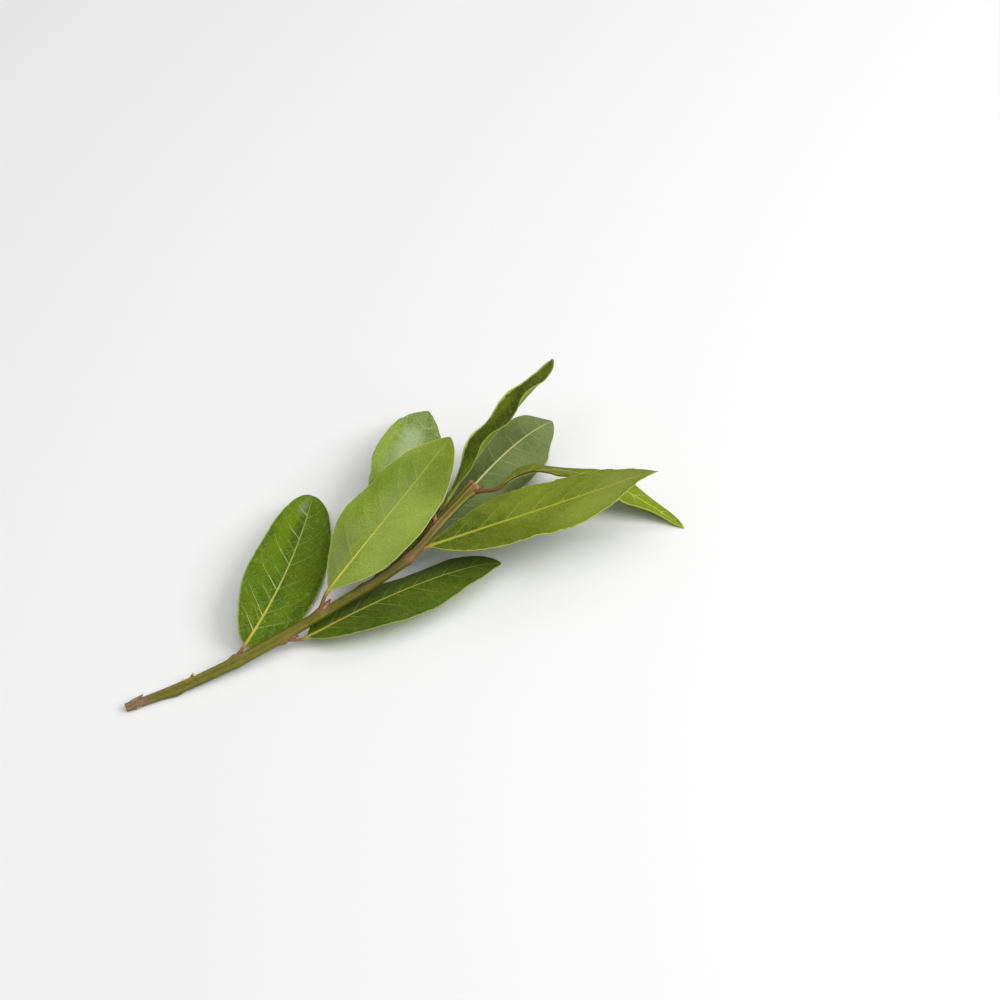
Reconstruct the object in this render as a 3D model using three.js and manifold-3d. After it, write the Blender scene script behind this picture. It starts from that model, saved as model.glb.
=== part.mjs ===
// One cut branch of bay laurel, lying on a surface: a woody stem with its buds, leaf scars and pruned tip,
// and eight leaves. Millimetres and degrees, +Z up. The branch is laid out from the middle of its cut end,
// with the stem running roughly along +X, and is moved at the end so that the origin is under its middle.
import * as THREE from 'three';
import { mergeVertices } from 'three/addons/utils/BufferGeometryUtils.js';
import Module from 'manifold-3d';

const wasm = await Module();
wasm.setup();

// ---- Driving dimensions ------------------------------------------------------------------------------

const CUT_END_TO_MIDDLE = [111.8, 8.9, 0];  // from the cut end to the middle of the whole branch
const FIT_GAP = 0.3;                         // left between a leaf stalk and the stem it grows from

const STEM_ROUTE = [
  [0, 0, 1.4], [13, -2.2, 1.5], [30, -5, 2.9], [50, -7, 4.9], [70, -8, 7.4], [90, -9, 10.7],
  [106, -9.7, 13.8], [121, -8.5, 17], [137, -3.9, 21], [154.5, 0, 25.8],
];
// Stem radius at distances along it, from the narrow heel of the shoot to the pruned tip.
const STEM_RADIUS = [[0, 1.55], [12, 1.75], [26, 2], [45, 2.1], [66, 2], [82, 1.8], [104, 1.8], [158, 1.9]];
const STEM_SIDES = 12;
const STEM_STEP = 3;
const NODE_SWELLING = { height: 0.3, length: 2.5 };
const PRUNED_TIP = { flare: 0.35, length: 1.6, tooth: 0.6, pit: 0.8, rim: 0.6 };

const CUSHION = { reach: 2, length: 3, radius: 1.3 };  // swollen foot of a leaf stalk
const BUD = { length: 3.8, radius: 0.95, lean: 0.8 };

const BLADE_THICKNESS = 0.6;
const BLADE_STEPS = 24;
const TIP_PART = 1 / 8;                      // part of a blade over which its tip hooks
const BLADE_COLUMNS = [-1, -0.7, -0.35, 0, 0.35, 0.7, 1];
const RIB_HEIGHT = 0.6;                      // midrib under the blade, at its base
const STALK = { radius: 0.75, steps: 7 };
const TIP_HALF_WIDTH = 0.5;

// Marks left on the bare foot of the stem. around: 0 is up, 90 is to the left of the stem.
const STEM_MARKS = [
  { along: 7.5, around: 43, radius: 0.55, length: 2.6, lean: 35 },    // pointed spur
  { along: 5.5, around: 250, radius: 0.75, length: 1.1, lean: 80 },   // torn leaf scar
  { along: 19, around: 245, radius: 0.9, length: 2.2, lean: 60 },     // low swelling
  { along: 21.5, around: 240, radius: 0.4, length: 2.4, lean: 50 },   // spike on it
  { along: 26, around: 43, radius: 0.8, length: 2.2, lean: 75 },      // raised scar
  { along: 28.5, around: 43, radius: 0.7, length: 1.6, lean: 50 },    // old bud
];

// Each leaf. node: where it leaves the stem, along it. base: foot of the blade, from the cut end.
// heading, pitch and roll set the blade at its foot; roll near 180 turns the underside up.
// bend, arch, curl and twist are what it turns by over its length, and hook what its tip bends by as well;
// fold and cup raise its two halves.
// widest, base_shape and tip_shape give the outline; wave, waves, phase and lag the waved margin.
const LEAVES = {
  leaf_1: {
    node: 44, base: [49.5, -2.5, 5.9], heading: 33, pitch: -5, roll: 26, length: 78, width: 29.4,
    widest: 0.43, base_shape: 0.57, tip_shape: 0.52, bend: 16, arch: -3, curl: 0, twist: -3,
    fold: 12, cup: 2, wave: 1.3, waves: 2, phase: 0.05, lag: 0.38,
  },
  leaf_2: {
    node: 80, base: [85.5, -4.5, 15], heading: 19, pitch: 16, roll: 172, length: 78, width: 34.6,
    widest: 0.47, base_shape: 0.89, tip_shape: 0.72, bend: 0, arch: -7, curl: 8, twist: 3,
    fold: 1, cup: -1, wave: 1.1, waves: 2.2, phase: -0.11, lag: 0.08,
  },
  leaf_3: {
    node: 63, base: [71, -12, 4.8], heading: -3, pitch: 6, roll: -16, length: 81, width: 28.9,
    widest: 0.43, base_shape: 0.67, tip_shape: 0.62, bend: -6, arch: 6, curl: 14, twist: -3,
    fold: -4, cup: -5, wave: 2.2, waves: 1.2, phase: 1.1, lag: -0.03, hook: -18,
  },
  leaf_4: {
    node: 119, base: [127.5, -10, 18], heading: -15, pitch: 6, roll: 182, length: 92, width: 25.5,
    widest: 0.5, base_shape: 0.71, tip_shape: 1.17, bend: 6, arch: 4, curl: 8, twist: -3,
    fold: 2, cup: -3, wave: 0.8, waves: 1.9, phase: -0.01, lag: 0.09, hook: 16,
  },
  leaf_5: {
    node: 156, base: [162.5, -7.5, 28], heading: 25, pitch: -16, roll: -41, length: 87, width: 20.3,
    widest: 0.45, base_shape: 0.87, tip_shape: 0.89, bend: -83, arch: 92, curl: -55, twist: 60,
    fold: 3, cup: 0, wave: 1.6, waves: 2.5, phase: -0.32, lag: 0.35,
  },
  leaf_6: {
    node: 135, base: [141.5, -0.5, 15.3], heading: 26, pitch: 4, roll: 165, length: 81, width: 29,
    widest: 0.52, base_shape: 0.71, tip_shape: 0.67, bend: 6, arch: -20, curl: -19, twist: 38,
    fold: 18, cup: 5, wave: 2.2, waves: 2.6, phase: 0.01, lag: 0.48,
  },
  leaf_7: {
    node: 137, base: [142.5, 1.5, 22.5], heading: 24, pitch: 22, roll: -49, length: 76, width: 20,
    widest: 0.52, base_shape: 1.3, tip_shape: 0.66, bend: 5, arch: 27, curl: -21, twist: 9,
    fold: 20, cup: 2, wave: 1.6, waves: 2.9, phase: 0.23, lag: 0.01, hook: 40,
  },
  leaf_8: {
    node: 99, base: [109, -4, 11.5], heading: 45, pitch: 2, roll: 26, length: 95, width: 32.6,
    widest: 0.51, base_shape: 0.76, tip_shape: 0.83, bend: -6, arch: 12, curl: 6, twist: 4,
    fold: 4, cup: -2, wave: 1.5, waves: 2.8, phase: 0.17, lag: 0.18,
  },
};

const COLOURS = {
  stem: 0x7e7430, leaf_1: 0x3f7a1e, leaf_2: 0x86a34a, leaf_3: 0x3c6b1c, leaf_4: 0x7f9636,
  leaf_5: 0x8fa02c, leaf_6: 0x64804a, leaf_7: 0x55701c, leaf_8: 0x4f8138,
};

// ---- Small helpers -----------------------------------------------------------------------------------

const UP = new THREE.Vector3(0, 0, 1);
const radians = THREE.MathUtils.degToRad;
const vector = (xyz) => new THREE.Vector3(...xyz);
const mix = THREE.MathUtils.lerp;
const ease = (x) => THREE.MathUtils.smoothstep(x, 0, 1);

// Piecewise straight value through [place, value] pairs.
function along(pairs, place) {
  const last = pairs.length - 1;
  if (place <= pairs[0][0]) return pairs[0][1];
  if (place >= pairs[last][0]) return pairs[last][1];
  const next = pairs.findIndex(([at]) => at > place);
  const [a, low] = pairs[next - 1];
  const [b, high] = pairs[next];
  return mix(low, high, (place - a) / (b - a));
}

function solid(points, triangles) {
  const mesh = new wasm.Mesh({
    numProp: 3,
    vertProperties: new Float32Array(points.flatMap((p) => [p.x, p.y, p.z])),
    triVerts: new Uint32Array(triangles),
  });
  return new wasm.Manifold(mesh);
}

function solidOfGeometry(geometry) {
  geometry.deleteAttribute('normal');
  geometry.deleteAttribute('uv');
  const merged = mergeVertices(geometry, 1e-4);
  const { array } = merged.attributes.position;
  const points = Array.from({ length: array.length / 3 }, (_, i) => vector(array.slice(3 * i, 3 * i + 3)));
  return solid(points, merged.index.array);
}

function meshOf(name, body) {
  const { vertProperties, triVerts } = body.getMesh();
  const geometry = new THREE.BufferGeometry();
  geometry.setAttribute('position', new THREE.BufferAttribute(new Float32Array(vertProperties), 3));
  geometry.setIndex(new THREE.BufferAttribute(new Uint32Array(triVerts), 1));
  geometry.computeVertexNormals();
  const finish = { color: COLOURS[name], roughness: name === 'stem' ? 0.7 : 0.45, metalness: 0 };
  const mesh = new THREE.Mesh(geometry, new THREE.MeshStandardMaterial(finish));
  mesh.name = name;
  return mesh;
}

// ---- Stem --------------------------------------------------------------------------------------------

const stemCurve = new THREE.CatmullRomCurve3(STEM_ROUTE.map(vector), false, 'catmullrom', 0.5);
const STEM_LENGTH = stemCurve.getLength();

// Centre, direction, left and up of the stem at a distance along it.
function stemAt(distance) {
  const u = THREE.MathUtils.clamp(distance / STEM_LENGTH, 0, 1);
  const centre = stemCurve.getPointAt(u);
  const forward = stemCurve.getTangentAt(u);
  const left = UP.clone().cross(forward).normalize();
  return { centre, forward, left, up: forward.clone().cross(left) };
}

function stemOutward({ left, up }, around) {
  const angle = radians(around);
  return up.clone().multiplyScalar(Math.cos(angle)).addScaledVector(left, Math.sin(angle));
}

function stemRadiusAt(distance) {
  const bumps = Object.values(LEAVES).map(({ node }) => {
    const away = (distance - node) / NODE_SWELLING.length;
    return NODE_SWELLING.height * Math.exp(-away * away);
  });
  const flare = PRUNED_TIP.flare * ease(1 - (STEM_LENGTH - distance) / PRUNED_TIP.length);
  return along(STEM_RADIUS, distance) + Math.max(...bumps) + flare;
}

// The rind with a slanted cut at its foot and a jagged rim round a shallow pit at its tip.
function stemBark(grow) {
  const points = [];
  const rings = Math.round(STEM_LENGTH / STEM_STEP);
  const addRing = (frame, radius, lengthwise) => {
    for (let k = 0; k < STEM_SIDES; k++) {
      const around = (360 * k) / STEM_SIDES;
      const point = frame.centre.clone().addScaledVector(stemOutward(frame, around), radius);
      point.addScaledVector(frame.forward, lengthwise(around));
      point.z = Math.max(point.z, -grow);
      points.push(point);
    }
  };
  const teeth = (around) => PRUNED_TIP.tooth * Math.abs(Math.sin(radians(2.5 * around + 20)));
  for (let i = 0; i <= rings; i++) {
    const distance = (STEM_LENGTH * i) / rings;
    const isTip = i === rings;
    addRing(stemAt(distance), stemRadiusAt(distance) + grow, isTip ? teeth : () => 0);
  }
  const tip = stemAt(STEM_LENGTH);
  addRing(tip, stemRadiusAt(STEM_LENGTH) - PRUNED_TIP.rim, (around) => 0.4 * teeth(around) - 0.2);
  const foot = points.length;
  points.push(stemAt(0).centre);
  points.push(tip.centre.clone().addScaledVector(tip.forward, -PRUNED_TIP.pit));
  const triangles = [];
  for (let i = 0; i <= rings; i++) {
    for (let k = 0; k < STEM_SIDES; k++) {
      const next = (k + 1) % STEM_SIDES;
      const [a, b] = [i * STEM_SIDES + k, i * STEM_SIDES + next];
      const [c, d] = [b + STEM_SIDES, a + STEM_SIDES];
      triangles.push(a, c, b, a, d, c);
    }
  }
  const lastRing = (rings + 1) * STEM_SIDES;
  for (let k = 0; k < STEM_SIDES; k++) {
    const next = (k + 1) % STEM_SIDES;
    triangles.push(foot, k, next);
    triangles.push(foot + 1, lastRing + next, lastRing + k);
  }
  return solid(points, triangles);
}

// A round body with a drawn out far end, from a root inside the stem.
function bump(root, direction, radius, length, grow) {
  const geometry = new THREE.SphereGeometry(1, 8, 8).rotateX(Math.PI / 2);
  const { position } = geometry.attributes;
  for (let i = 0; i < position.count; i++) {
    const height = position.getZ(i);
    const narrow = 1 - 0.45 * ease(height);
    const across = (radius + grow) * narrow;
    position.setXYZ(i, position.getX(i) * across, position.getY(i) * across, height * (length + grow));
  }
  geometry.applyQuaternion(new THREE.Quaternion().setFromUnitVectors(UP, direction));
  geometry.translate(root.x, root.y, root.z);
  return solidOfGeometry(geometry);
}

function stemMark({ along: distance, around, radius, length, lean }, grow) {
  const frame = stemAt(distance);
  const outward = stemOutward(frame, around);
  const root = frame.centre.clone().addScaledVector(outward, stemRadiusAt(distance) - 0.5);
  const angle = radians(lean);
  const direction = outward.clone().multiplyScalar(Math.cos(angle));
  direction.addScaledVector(frame.forward, Math.sin(angle));
  return bump(root, direction, radius, length, grow);
}

function cushionAndBud(leaf, grow) {
  const { root, direction, frame } = stalkRoot(leaf);
  const foot = root.clone().addScaledVector(direction, CUSHION.reach);
  const cushion = bump(foot, direction, CUSHION.radius, CUSHION.length, grow);
  const budDirection = direction.clone().addScaledVector(frame.forward, BUD.lean).normalize();
  const axil = root.clone().addScaledVector(budDirection, stemRadiusAt(leaf.node));
  return cushion.add(bump(axil, budDirection, BUD.radius, BUD.length, grow));
}

function stemBody(grow) {
  let body = stemBark(grow);
  STEM_MARKS.forEach((mark) => { body = body.add(stemMark(mark, grow)); });
  Object.values(LEAVES).forEach((leaf) => { body = body.add(cushionAndBud(leaf, grow)); });
  return body;
}

// ---- Leaves ------------------------------------------------------------------------------------------

// Where a leaf stalk starts on the middle line of the stem, and the way it sets off.
function stalkRoot(leaf) {
  const frame = stemAt(leaf.node);
  const toBase = vector(leaf.base).sub(frame.centre);
  const direction = toBase.clone().addScaledVector(frame.forward, -0.4 * toBase.dot(frame.forward));
  direction.normalize();
  return { root: frame.centre, direction, frame, reach: toBase.length() };
}

function turn(a, b, angle) {
  const turned = a.clone().multiplyScalar(Math.cos(angle)).addScaledVector(b, Math.sin(angle));
  const other = b.clone().multiplyScalar(Math.cos(angle)).addScaledVector(a, -Math.sin(angle));
  return [turned, other];
}

// Places along the midrib, each with the blade's own forward, left and upper-face directions.
function midribFrames(leaf) {
  const [heading, pitch, roll] = [leaf.heading, leaf.pitch, leaf.roll].map(radians);
  let forward = new THREE.Vector3(
    Math.cos(pitch) * Math.cos(heading), Math.cos(pitch) * Math.sin(heading), Math.sin(pitch));
  const level = new THREE.Vector3(-Math.sin(heading), Math.cos(heading), 0);
  let [left, face] = turn(level, forward.clone().cross(level), roll);
  const centre = vector(leaf.base);
  const frames = [{ centre: centre.clone(), forward, left, face }];
  for (let i = 0; i < BLADE_STEPS; i++) {
    const t = (i + 0.5) / BLADE_STEPS;
    const hook = t > 1 - TIP_PART ? (leaf.hook ?? 0) / TIP_PART : 0;
    const bend = radians(leaf.bend + hook) / BLADE_STEPS;
    const arch = radians(leaf.arch + 3 * leaf.curl * t * t) / BLADE_STEPS;
    const twist = radians(leaf.twist) / BLADE_STEPS;
    const halfTurn = () => {
      [forward, left] = turn(forward, left, bend / 2);
      [forward, face] = turn(forward, face, -arch / 2);
      [left, face] = turn(left, face, twist / 2);
    };
    halfTurn();
    centre.addScaledVector(forward, leaf.length / BLADE_STEPS);
    halfTurn();
    frames.push({ centre: centre.clone(), forward, left, face });
  }
  return frames;
}

function halfWidth(leaf, t) {
  const { widest } = leaf;
  const away = t < widest ? (widest - t) / widest : (t - widest) / (1 - widest);
  const shape = t < widest ? leaf.base_shape : leaf.tip_shape;
  return (leaf.width / 2) * Math.max(1 - away * away, 0) ** shape;
}

// A point of the blade: t runs from its foot to its tip, v from -1 at the right margin to 1 at the left,
// and offset is measured from the middle of its thickness towards the upper face.
function bladePoint(leaf, frame, t, v, offset) {
  const reach = Math.abs(v);
  const side = Math.sign(v);
  const across = reach * Math.max(halfWidth(leaf, t), TIP_HALF_WIDTH);
  const raise = radians(leaf.fold + (leaf.cup * reach) / 2);
  const phase = leaf.phase + (v < 0 ? leaf.lag : 0);
  const swell = Math.sin(Math.PI * t) ** 0.6;
  const wave = leaf.wave * reach * reach * swell * Math.sin(2 * Math.PI * (leaf.waves * t + phase));
  const normal = frame.face.clone();
  if (side) {
    normal.multiplyScalar(Math.cos(raise)).addScaledVector(frame.left, -side * Math.sin(raise));
  }
  return frame.centre.clone()
    .addScaledVector(frame.left, side * across * Math.cos(raise))
    .addScaledVector(frame.face, across * Math.sin(raise))
    .addScaledVector(normal, wave + offset);
}

// A point of the round stalk: v as on the blade, top or underside.
function stalkPoint(frame, v, isTop, radius) {
  const angle = v * radians(76);
  return frame.centre.clone()
    .addScaledVector(frame.left, radius * Math.sin(angle))
    .addScaledVector(frame.face, (isTop ? 1 : -1) * radius * Math.cos(angle));
}

function bladeRing(leaf, frame, t) {
  const flat = ease(t / 0.12);
  const place = (v, isTop) => {
    const rib = v === 0 && !isTop ? RIB_HEIGHT * (1 - t) : 0;
    const offset = (isTop ? 1 : -1) * (BLADE_THICKNESS / 2) - rib;
    const onBlade = bladePoint(leaf, frame, t, v, offset);
    return stalkPoint(frame, v, isTop, STALK.radius).lerp(onBlade, flat);
  };
  const top = BLADE_COLUMNS.map((v) => place(v, true));
  const underside = BLADE_COLUMNS.map((v) => place(v, false));
  return [...top, ...underside.reverse()];
}

// The stalk, from the middle of the stem to the foot of the blade.
function stalkRings(leaf, foot) {
  const { root, direction, reach } = stalkRoot(leaf);
  const curve = new THREE.CubicBezierCurve3(
    root,
    root.clone().addScaledVector(direction, 0.4 * reach),
    foot.centre.clone().addScaledVector(foot.forward, -0.35 * reach),
    foot.centre,
  );
  const rings = [];
  let { left } = foot;
  for (let i = STALK.steps - 1; i >= 0; i--) {
    const forward = curve.getTangent(i / STALK.steps);
    left = left.clone().addScaledVector(forward, -left.dot(forward)).normalize();
    const frame = { centre: curve.getPoint(i / STALK.steps), left, face: forward.clone().cross(left) };
    const top = BLADE_COLUMNS.map((v) => stalkPoint(frame, v, true, STALK.radius));
    const underside = BLADE_COLUMNS.map((v) => stalkPoint(frame, v, false, STALK.radius));
    rings.unshift([...top, ...underside.reverse()]);
  }
  return rings;
}

// Rings joined into one closed body, with the diagonals of the two faces of the blade matching.
function loft(rings) {
  const points = rings.flat();
  const size = rings[0].length;
  const columns = size / 2;
  const triangles = [];
  for (let i = 0; i < rings.length - 1; i++) {
    for (let k = 0; k < size; k++) {
      const next = (k + 1) % size;
      const [a, b] = [i * size + k, i * size + next];
      const [c, d] = [b + size, a + size];
      if (k < columns) triangles.push(a, c, b, a, d, c);
      else triangles.push(a, d, b, b, d, c);
    }
  }
  const last = (rings.length - 1) * size;
  for (let j = 0; j < columns - 1; j++) {
    const [a, b, c, d] = [j, j + 1, size - 2 - j, size - 1 - j];
    triangles.push(a, b, c, a, c, d);
    triangles.push(last + a, last + c, last + b, last + a, last + d, last + c);
  }
  return solid(points, triangles);
}

function leafBody(leaf, keepClear) {
  const frames = midribFrames(leaf);
  const blade = frames.map((frame, i) => bladeRing(leaf, frame, i / BLADE_STEPS));
  const whole = loft([...stalkRings(leaf, frames[0]), ...blade]);
  return whole.subtract(keepClear);
}

// ---- The branch --------------------------------------------------------------------------------------

const branch = new THREE.Group();
branch.name = 'bay_leaf_branch';
const toOrigin = vector(CUT_END_TO_MIDDLE).negate().toArray();

branch.add(meshOf('stem', stemBody(0).translate(toOrigin)));
const keepClear = stemBody(FIT_GAP);
for (const [name, leaf] of Object.entries(LEAVES)) {
  branch.add(meshOf(name, leafBody(leaf, keepClear).translate(toOrigin)));
}

export default branch;
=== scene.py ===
"""A cut branch of bay laurel lying on a pale table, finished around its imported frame.

The tables below are in millimetres and degrees, measured from the middle of the stem's cut end, as in
the branch's own source. to_metres() moves them into the frame.
"""

import math

import bpy
import numpy as np
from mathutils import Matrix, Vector


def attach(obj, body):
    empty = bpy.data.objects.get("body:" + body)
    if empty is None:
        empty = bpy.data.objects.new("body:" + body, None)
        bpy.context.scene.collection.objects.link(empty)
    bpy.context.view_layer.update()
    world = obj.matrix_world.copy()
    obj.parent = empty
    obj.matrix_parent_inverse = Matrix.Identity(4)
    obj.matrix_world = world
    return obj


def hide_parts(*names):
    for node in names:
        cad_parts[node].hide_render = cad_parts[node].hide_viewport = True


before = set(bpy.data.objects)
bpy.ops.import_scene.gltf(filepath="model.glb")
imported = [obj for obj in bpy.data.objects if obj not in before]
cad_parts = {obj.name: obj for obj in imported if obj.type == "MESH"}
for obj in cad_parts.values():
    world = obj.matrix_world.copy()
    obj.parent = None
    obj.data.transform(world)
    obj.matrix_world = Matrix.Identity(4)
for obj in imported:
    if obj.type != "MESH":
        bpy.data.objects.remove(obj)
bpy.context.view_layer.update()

# ---- Sizes -------------------------------------------------------------------------------------------

MM = 0.001
CUT_END_TO_MIDDLE = np.array([111.8, 8.9, 0.0])
UP = np.array([0.0, 0.0, 1.0])
TABLE_SKIN = 0.02  # no leaf, bud or scar is lower than this above the table
SEEDS = {"leaf": 100, "stem": 7, "buds": 21, "marks": 33}

STEM_ROUTE = [
    [0, 0, 1.4], [13, -2.2, 1.5], [30, -5, 2.9], [50, -7, 4.9], [70, -8, 7.4], [90, -9, 10.7],
    [106, -9.7, 13.8], [121, -8.5, 17], [137, -3.9, 21], [154.5, 0, 25.8],
]
STEM_RADIUS = [[0, 1.55], [12, 1.75], [26, 2], [45, 2.1], [66, 2], [82, 1.8], [104, 1.8], [158, 1.9]]
STEM_RINGS = 560
STEM_SIDES = 72
NODE_SWELLING = {"height": 0.3, "length": 2.5}
PRUNED_TIP = {"flare": 0.42, "length": 1.6, "tooth": 1.0}
BARK_WAVES = [(5, 0.1), (7, 0.05), (11, 0.03)]  # ridges round the stem, and their height
FLUTING = {"ridges": 6, "height": 0.1, "start": 108, "full": 150}
LEAF_FOOT = {"height": 0.55, "length": 1.9, "spread": 40}  # where a stalk leaves the stem
FOOT_RIDGE = {"height": 0.13, "aside": 38, "spread": 13, "fade": 11}  # two run back from each leaf foot
BLUSH = {"before": 2.0, "past": 3.4, "spread": 62}  # pink round each leaf foot
BARK_WARTS = 150
MARK_SUNK = 0.35
# Rings of the two cut ends, as parts of the stem's radius, and how far out each ring stands.
CUT_FOOT = [0.97, 0.9, 0.78, 0.6, 0.42, 0.24, 0.1, 0.01], [-0.05, -0.1, -0.08, -0.1, -0.06, 0.02, 0.12, 0.16]
CUT_TIP = [0.86, 0.72, 0.62, 0.5, 0.36, 0.2, 0.01], [-0.1, -0.45, -0.6, -0.68, -0.74, -0.8]

# What a leaf has unless its own forms say otherwise. veins: main side veins of a half. vein_lean and
# vein_show: of its right and its left half. dents: side, place along the blade, length and depth. hook:
# what its tip bends by. bud: size of the bud above the stalk. flush: reach of the pink at the node.
USUAL_FORMS = dict(
    veins=7, vein_lean=(1.0, 1.0), vein_show=(1.0, 1.0), nicks=0.1, teeth=0.45, dents=[], ripple=1.0,
    hook=0, stalk_radius=0.6, bud=0.7, flush=1.0,
)
# The leaves, as in the branch's own source. node: where a leaf leaves the stem, along it. base: foot of
# its blade. heading, pitch and roll set the blade at its foot; roll near 180 turns the underside up.
# bend, arch, curl and twist are what it turns by over its length; fold and cup raise its two halves.
# widest, base_shape and tip_shape give the outline; wave, waves, phase and lag the waved margin.
LEAVES = {
    "leaf_1": dict(
        USUAL_FORMS, node=44, base=[49.5, -2.5, 5.9], heading=33, pitch=-5, roll=26, length=78, width=29.4,
        widest=0.43, base_shape=0.57, tip_shape=0.52, bend=16, arch=-3, curl=0, twist=-3, fold=12, cup=2,
        wave=1.3, waves=2, phase=0.05, lag=0.38, veins=6, vein_lean=(1.5, 0.85), vein_show=(0.38, 1.0),
        bud=0.45),
    "leaf_2": dict(
        USUAL_FORMS, node=80, base=[85.5, -4.5, 15], heading=19, pitch=16, roll=172, length=78, width=34.6,
        widest=0.47, base_shape=0.89, tip_shape=0.72, bend=0, arch=-7, curl=8, twist=3, fold=1, cup=-1,
        wave=1.1, waves=2.2, phase=-0.11, lag=0.08, dents=[(1, 0.58, 9, 1.5)], stalk_radius=0.72, bud=1.15),
    "leaf_3": dict(
        USUAL_FORMS, node=63, base=[71, -12, 4.8], heading=-3, pitch=6, roll=-16, length=81, width=28.9,
        widest=0.43, base_shape=0.67, tip_shape=0.62, bend=-6, arch=6, curl=14, twist=-3, fold=-4, cup=-5,
        wave=2.2, waves=1.2, phase=1.1, lag=-0.03, hook=-18, veins=6, vein_lean=(1.3, 1.3),
        vein_show=(0.7, 1.0), nicks=0.25, bud=1.0),
    "leaf_4": dict(
        USUAL_FORMS, node=119, base=[127.5, -10, 18], heading=-15, pitch=6, roll=182, length=92, width=25.5,
        widest=0.5, base_shape=0.71, tip_shape=1.17, bend=6, arch=4, curl=8, twist=-3, fold=2, cup=-3,
        wave=0.8, waves=1.9, phase=-0.01, lag=0.09, hook=16, vein_lean=(1.7, 1.7), vein_show=(1.0, 0.4),
        nicks=0.28, teeth=1.1, bud=0.8, flush=2.3),
    "leaf_5": dict(
        USUAL_FORMS, node=156, base=[162.5, -7.5, 28], heading=25, pitch=-16, roll=-41, length=87,
        width=20.3, widest=0.45, base_shape=0.87, tip_shape=0.89, bend=-83, arch=92, curl=-55, twist=60,
        fold=3, cup=0, wave=1.6, waves=2.5, phase=-0.32, lag=0.35, stalk_radius=0.8, bud=0.85),
    "leaf_6": dict(
        USUAL_FORMS, node=135, base=[141.5, -0.5, 15.3], heading=26, pitch=4, roll=165, length=81, width=29,
        widest=0.52, base_shape=0.71, tip_shape=0.67, bend=6, arch=-20, curl=-19, twist=38, fold=18, cup=5,
        wave=2.2, waves=2.6, phase=0.01, lag=0.48, flush=1.7),
    "leaf_7": dict(
        USUAL_FORMS, node=137, base=[142.5, 1.5, 22.5], heading=24, pitch=22, roll=-49, length=76, width=20,
        widest=0.52, base_shape=1.3, tip_shape=0.66, bend=5, arch=27, curl=-21, twist=9, fold=20, cup=2,
        wave=1.6, waves=2.9, phase=0.23, lag=0.01, hook=40, flush=2.6),
    "leaf_8": dict(
        USUAL_FORMS, node=99, base=[109, -4, 11.5], heading=45, pitch=2, roll=26, length=95, width=32.6,
        widest=0.51, base_shape=0.76, tip_shape=0.83, bend=-6, arch=12, curl=6, twist=4, fold=4, cup=-2,
        wave=1.5, waves=2.8, phase=0.17, lag=0.18, nicks=0.2, ripple=2.4),
}

# Marks on the bare foot of the stem. around: 0 is up, 90 is to the left of the stem.
STEM_MARKS = [
    dict(name="spur", along=3.4, around=43, radius=0.95, length=4.3, lean=72, scar=0.1, swell=0.15),
    dict(name="torn_scar", along=4.2, around=250, radius=0.75, length=2.4, lean=90, scar=0.7, swell=0.3),
    dict(name="low_swelling", along=18.5, around=245, radius=2.2, length=0, lean=0, scar=0.0, swell=0.75),
    dict(name="spike", along=19, around=240, radius=0.42, length=2.0, lean=58, scar=0.0, swell=0.1),
    dict(name="scar_trail", along=23.5, around=43, radius=0.6, length=3.6, lean=87, scar=0.5, swell=0.2),
    dict(name="raised_scar", along=27, around=43, radius=1.05, length=1.3, lean=52, scar=1.0, swell=0.3),
]

BLADE_STEPS = 240
EVEN_ROWS = 221
ROWS_AT_VEIN = np.array([-0.22, 0, 0.22])  # rows set across each side vein
TIP_PART = 1 / 8  # part of a blade over which its tip hooks
BLADE_THICKNESS = 0.4
EDGE_ROUND = 0.22  # width over which a margin is rounded
NOISE_ROOM = 1.3  # a leaf's seeded waves are drawn for this many of its lengths
PUFF_HEIGHT = 0.2  # between side veins
VEIN_RIDGE = {"width": 0.26, "above": 0.045, "below": 0.1}
RIB_PLACES = [0, 0.06, 0.16, 0.5, 1]  # places along the blade where the midrib has these radii
RIB_RADII = [0.8, 0.68, 0.54, 0.36, 0.14]
STALK_FOOT = {"extra": 0.5, "reach": 1.7}
STALK_RINGS = 34
STALK_START = 0.12  # part of the stalk that lies inside the stem
CLEAR_OF_VEINS = 9  # a distance at which no vein shows
TIP_HALF_WIDTH = 0.22
BUD = {"length": 4.8, "radius": 1.15, "lean": 0.85, "sunk": 0.15}
BUD_SCALES = [(0.96, 0.0), (0.86, 0.05), (0.66, 0.1), (0.46, 0.15)]  # part of its length, and lift
LONE_BUDS = [{"along": 137.6, "around": 50, "size": 1.1}]  # buds that stand apart from a stalk

# Columns of a blade from its midrib to its margin, as parts of the half width.
BLADE_COLUMNS = np.array([
    0, 0.009, 0.018, 0.027, 0.037, 0.048, 0.062, 0.08, 0.105, 0.135, 0.17, 0.21, 0.25, 0.29, 0.33, 0.37,
    0.41, 0.45, 0.49, 0.53, 0.57, 0.61, 0.65, 0.69, 0.73, 0.77, 0.81, 0.85, 0.885, 0.915, 0.94, 0.96,
    0.975, 0.986, 0.994, 1.0,
])


# ---- Small helpers -----------------------------------------------------------------------------------

def ease(x, low=0.0, high=1.0):
    x = np.clip((np.asarray(x, float) - low) / (high - low), 0, 1)
    return x * x * (3 - 2 * x)


def unit(v):
    v = np.asarray(v, float)
    return v / np.linalg.norm(v, axis=-1, keepdims=True)


def bell(x, width):
    return np.exp(-(x / width) ** 2)


def turn(a, b, angle):
    return a * math.cos(angle) + b * math.sin(angle), b * math.cos(angle) - a * math.sin(angle)


def to_metres(points):
    return (np.asarray(points, float) - CUT_END_TO_MIDDLE) * MM


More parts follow.
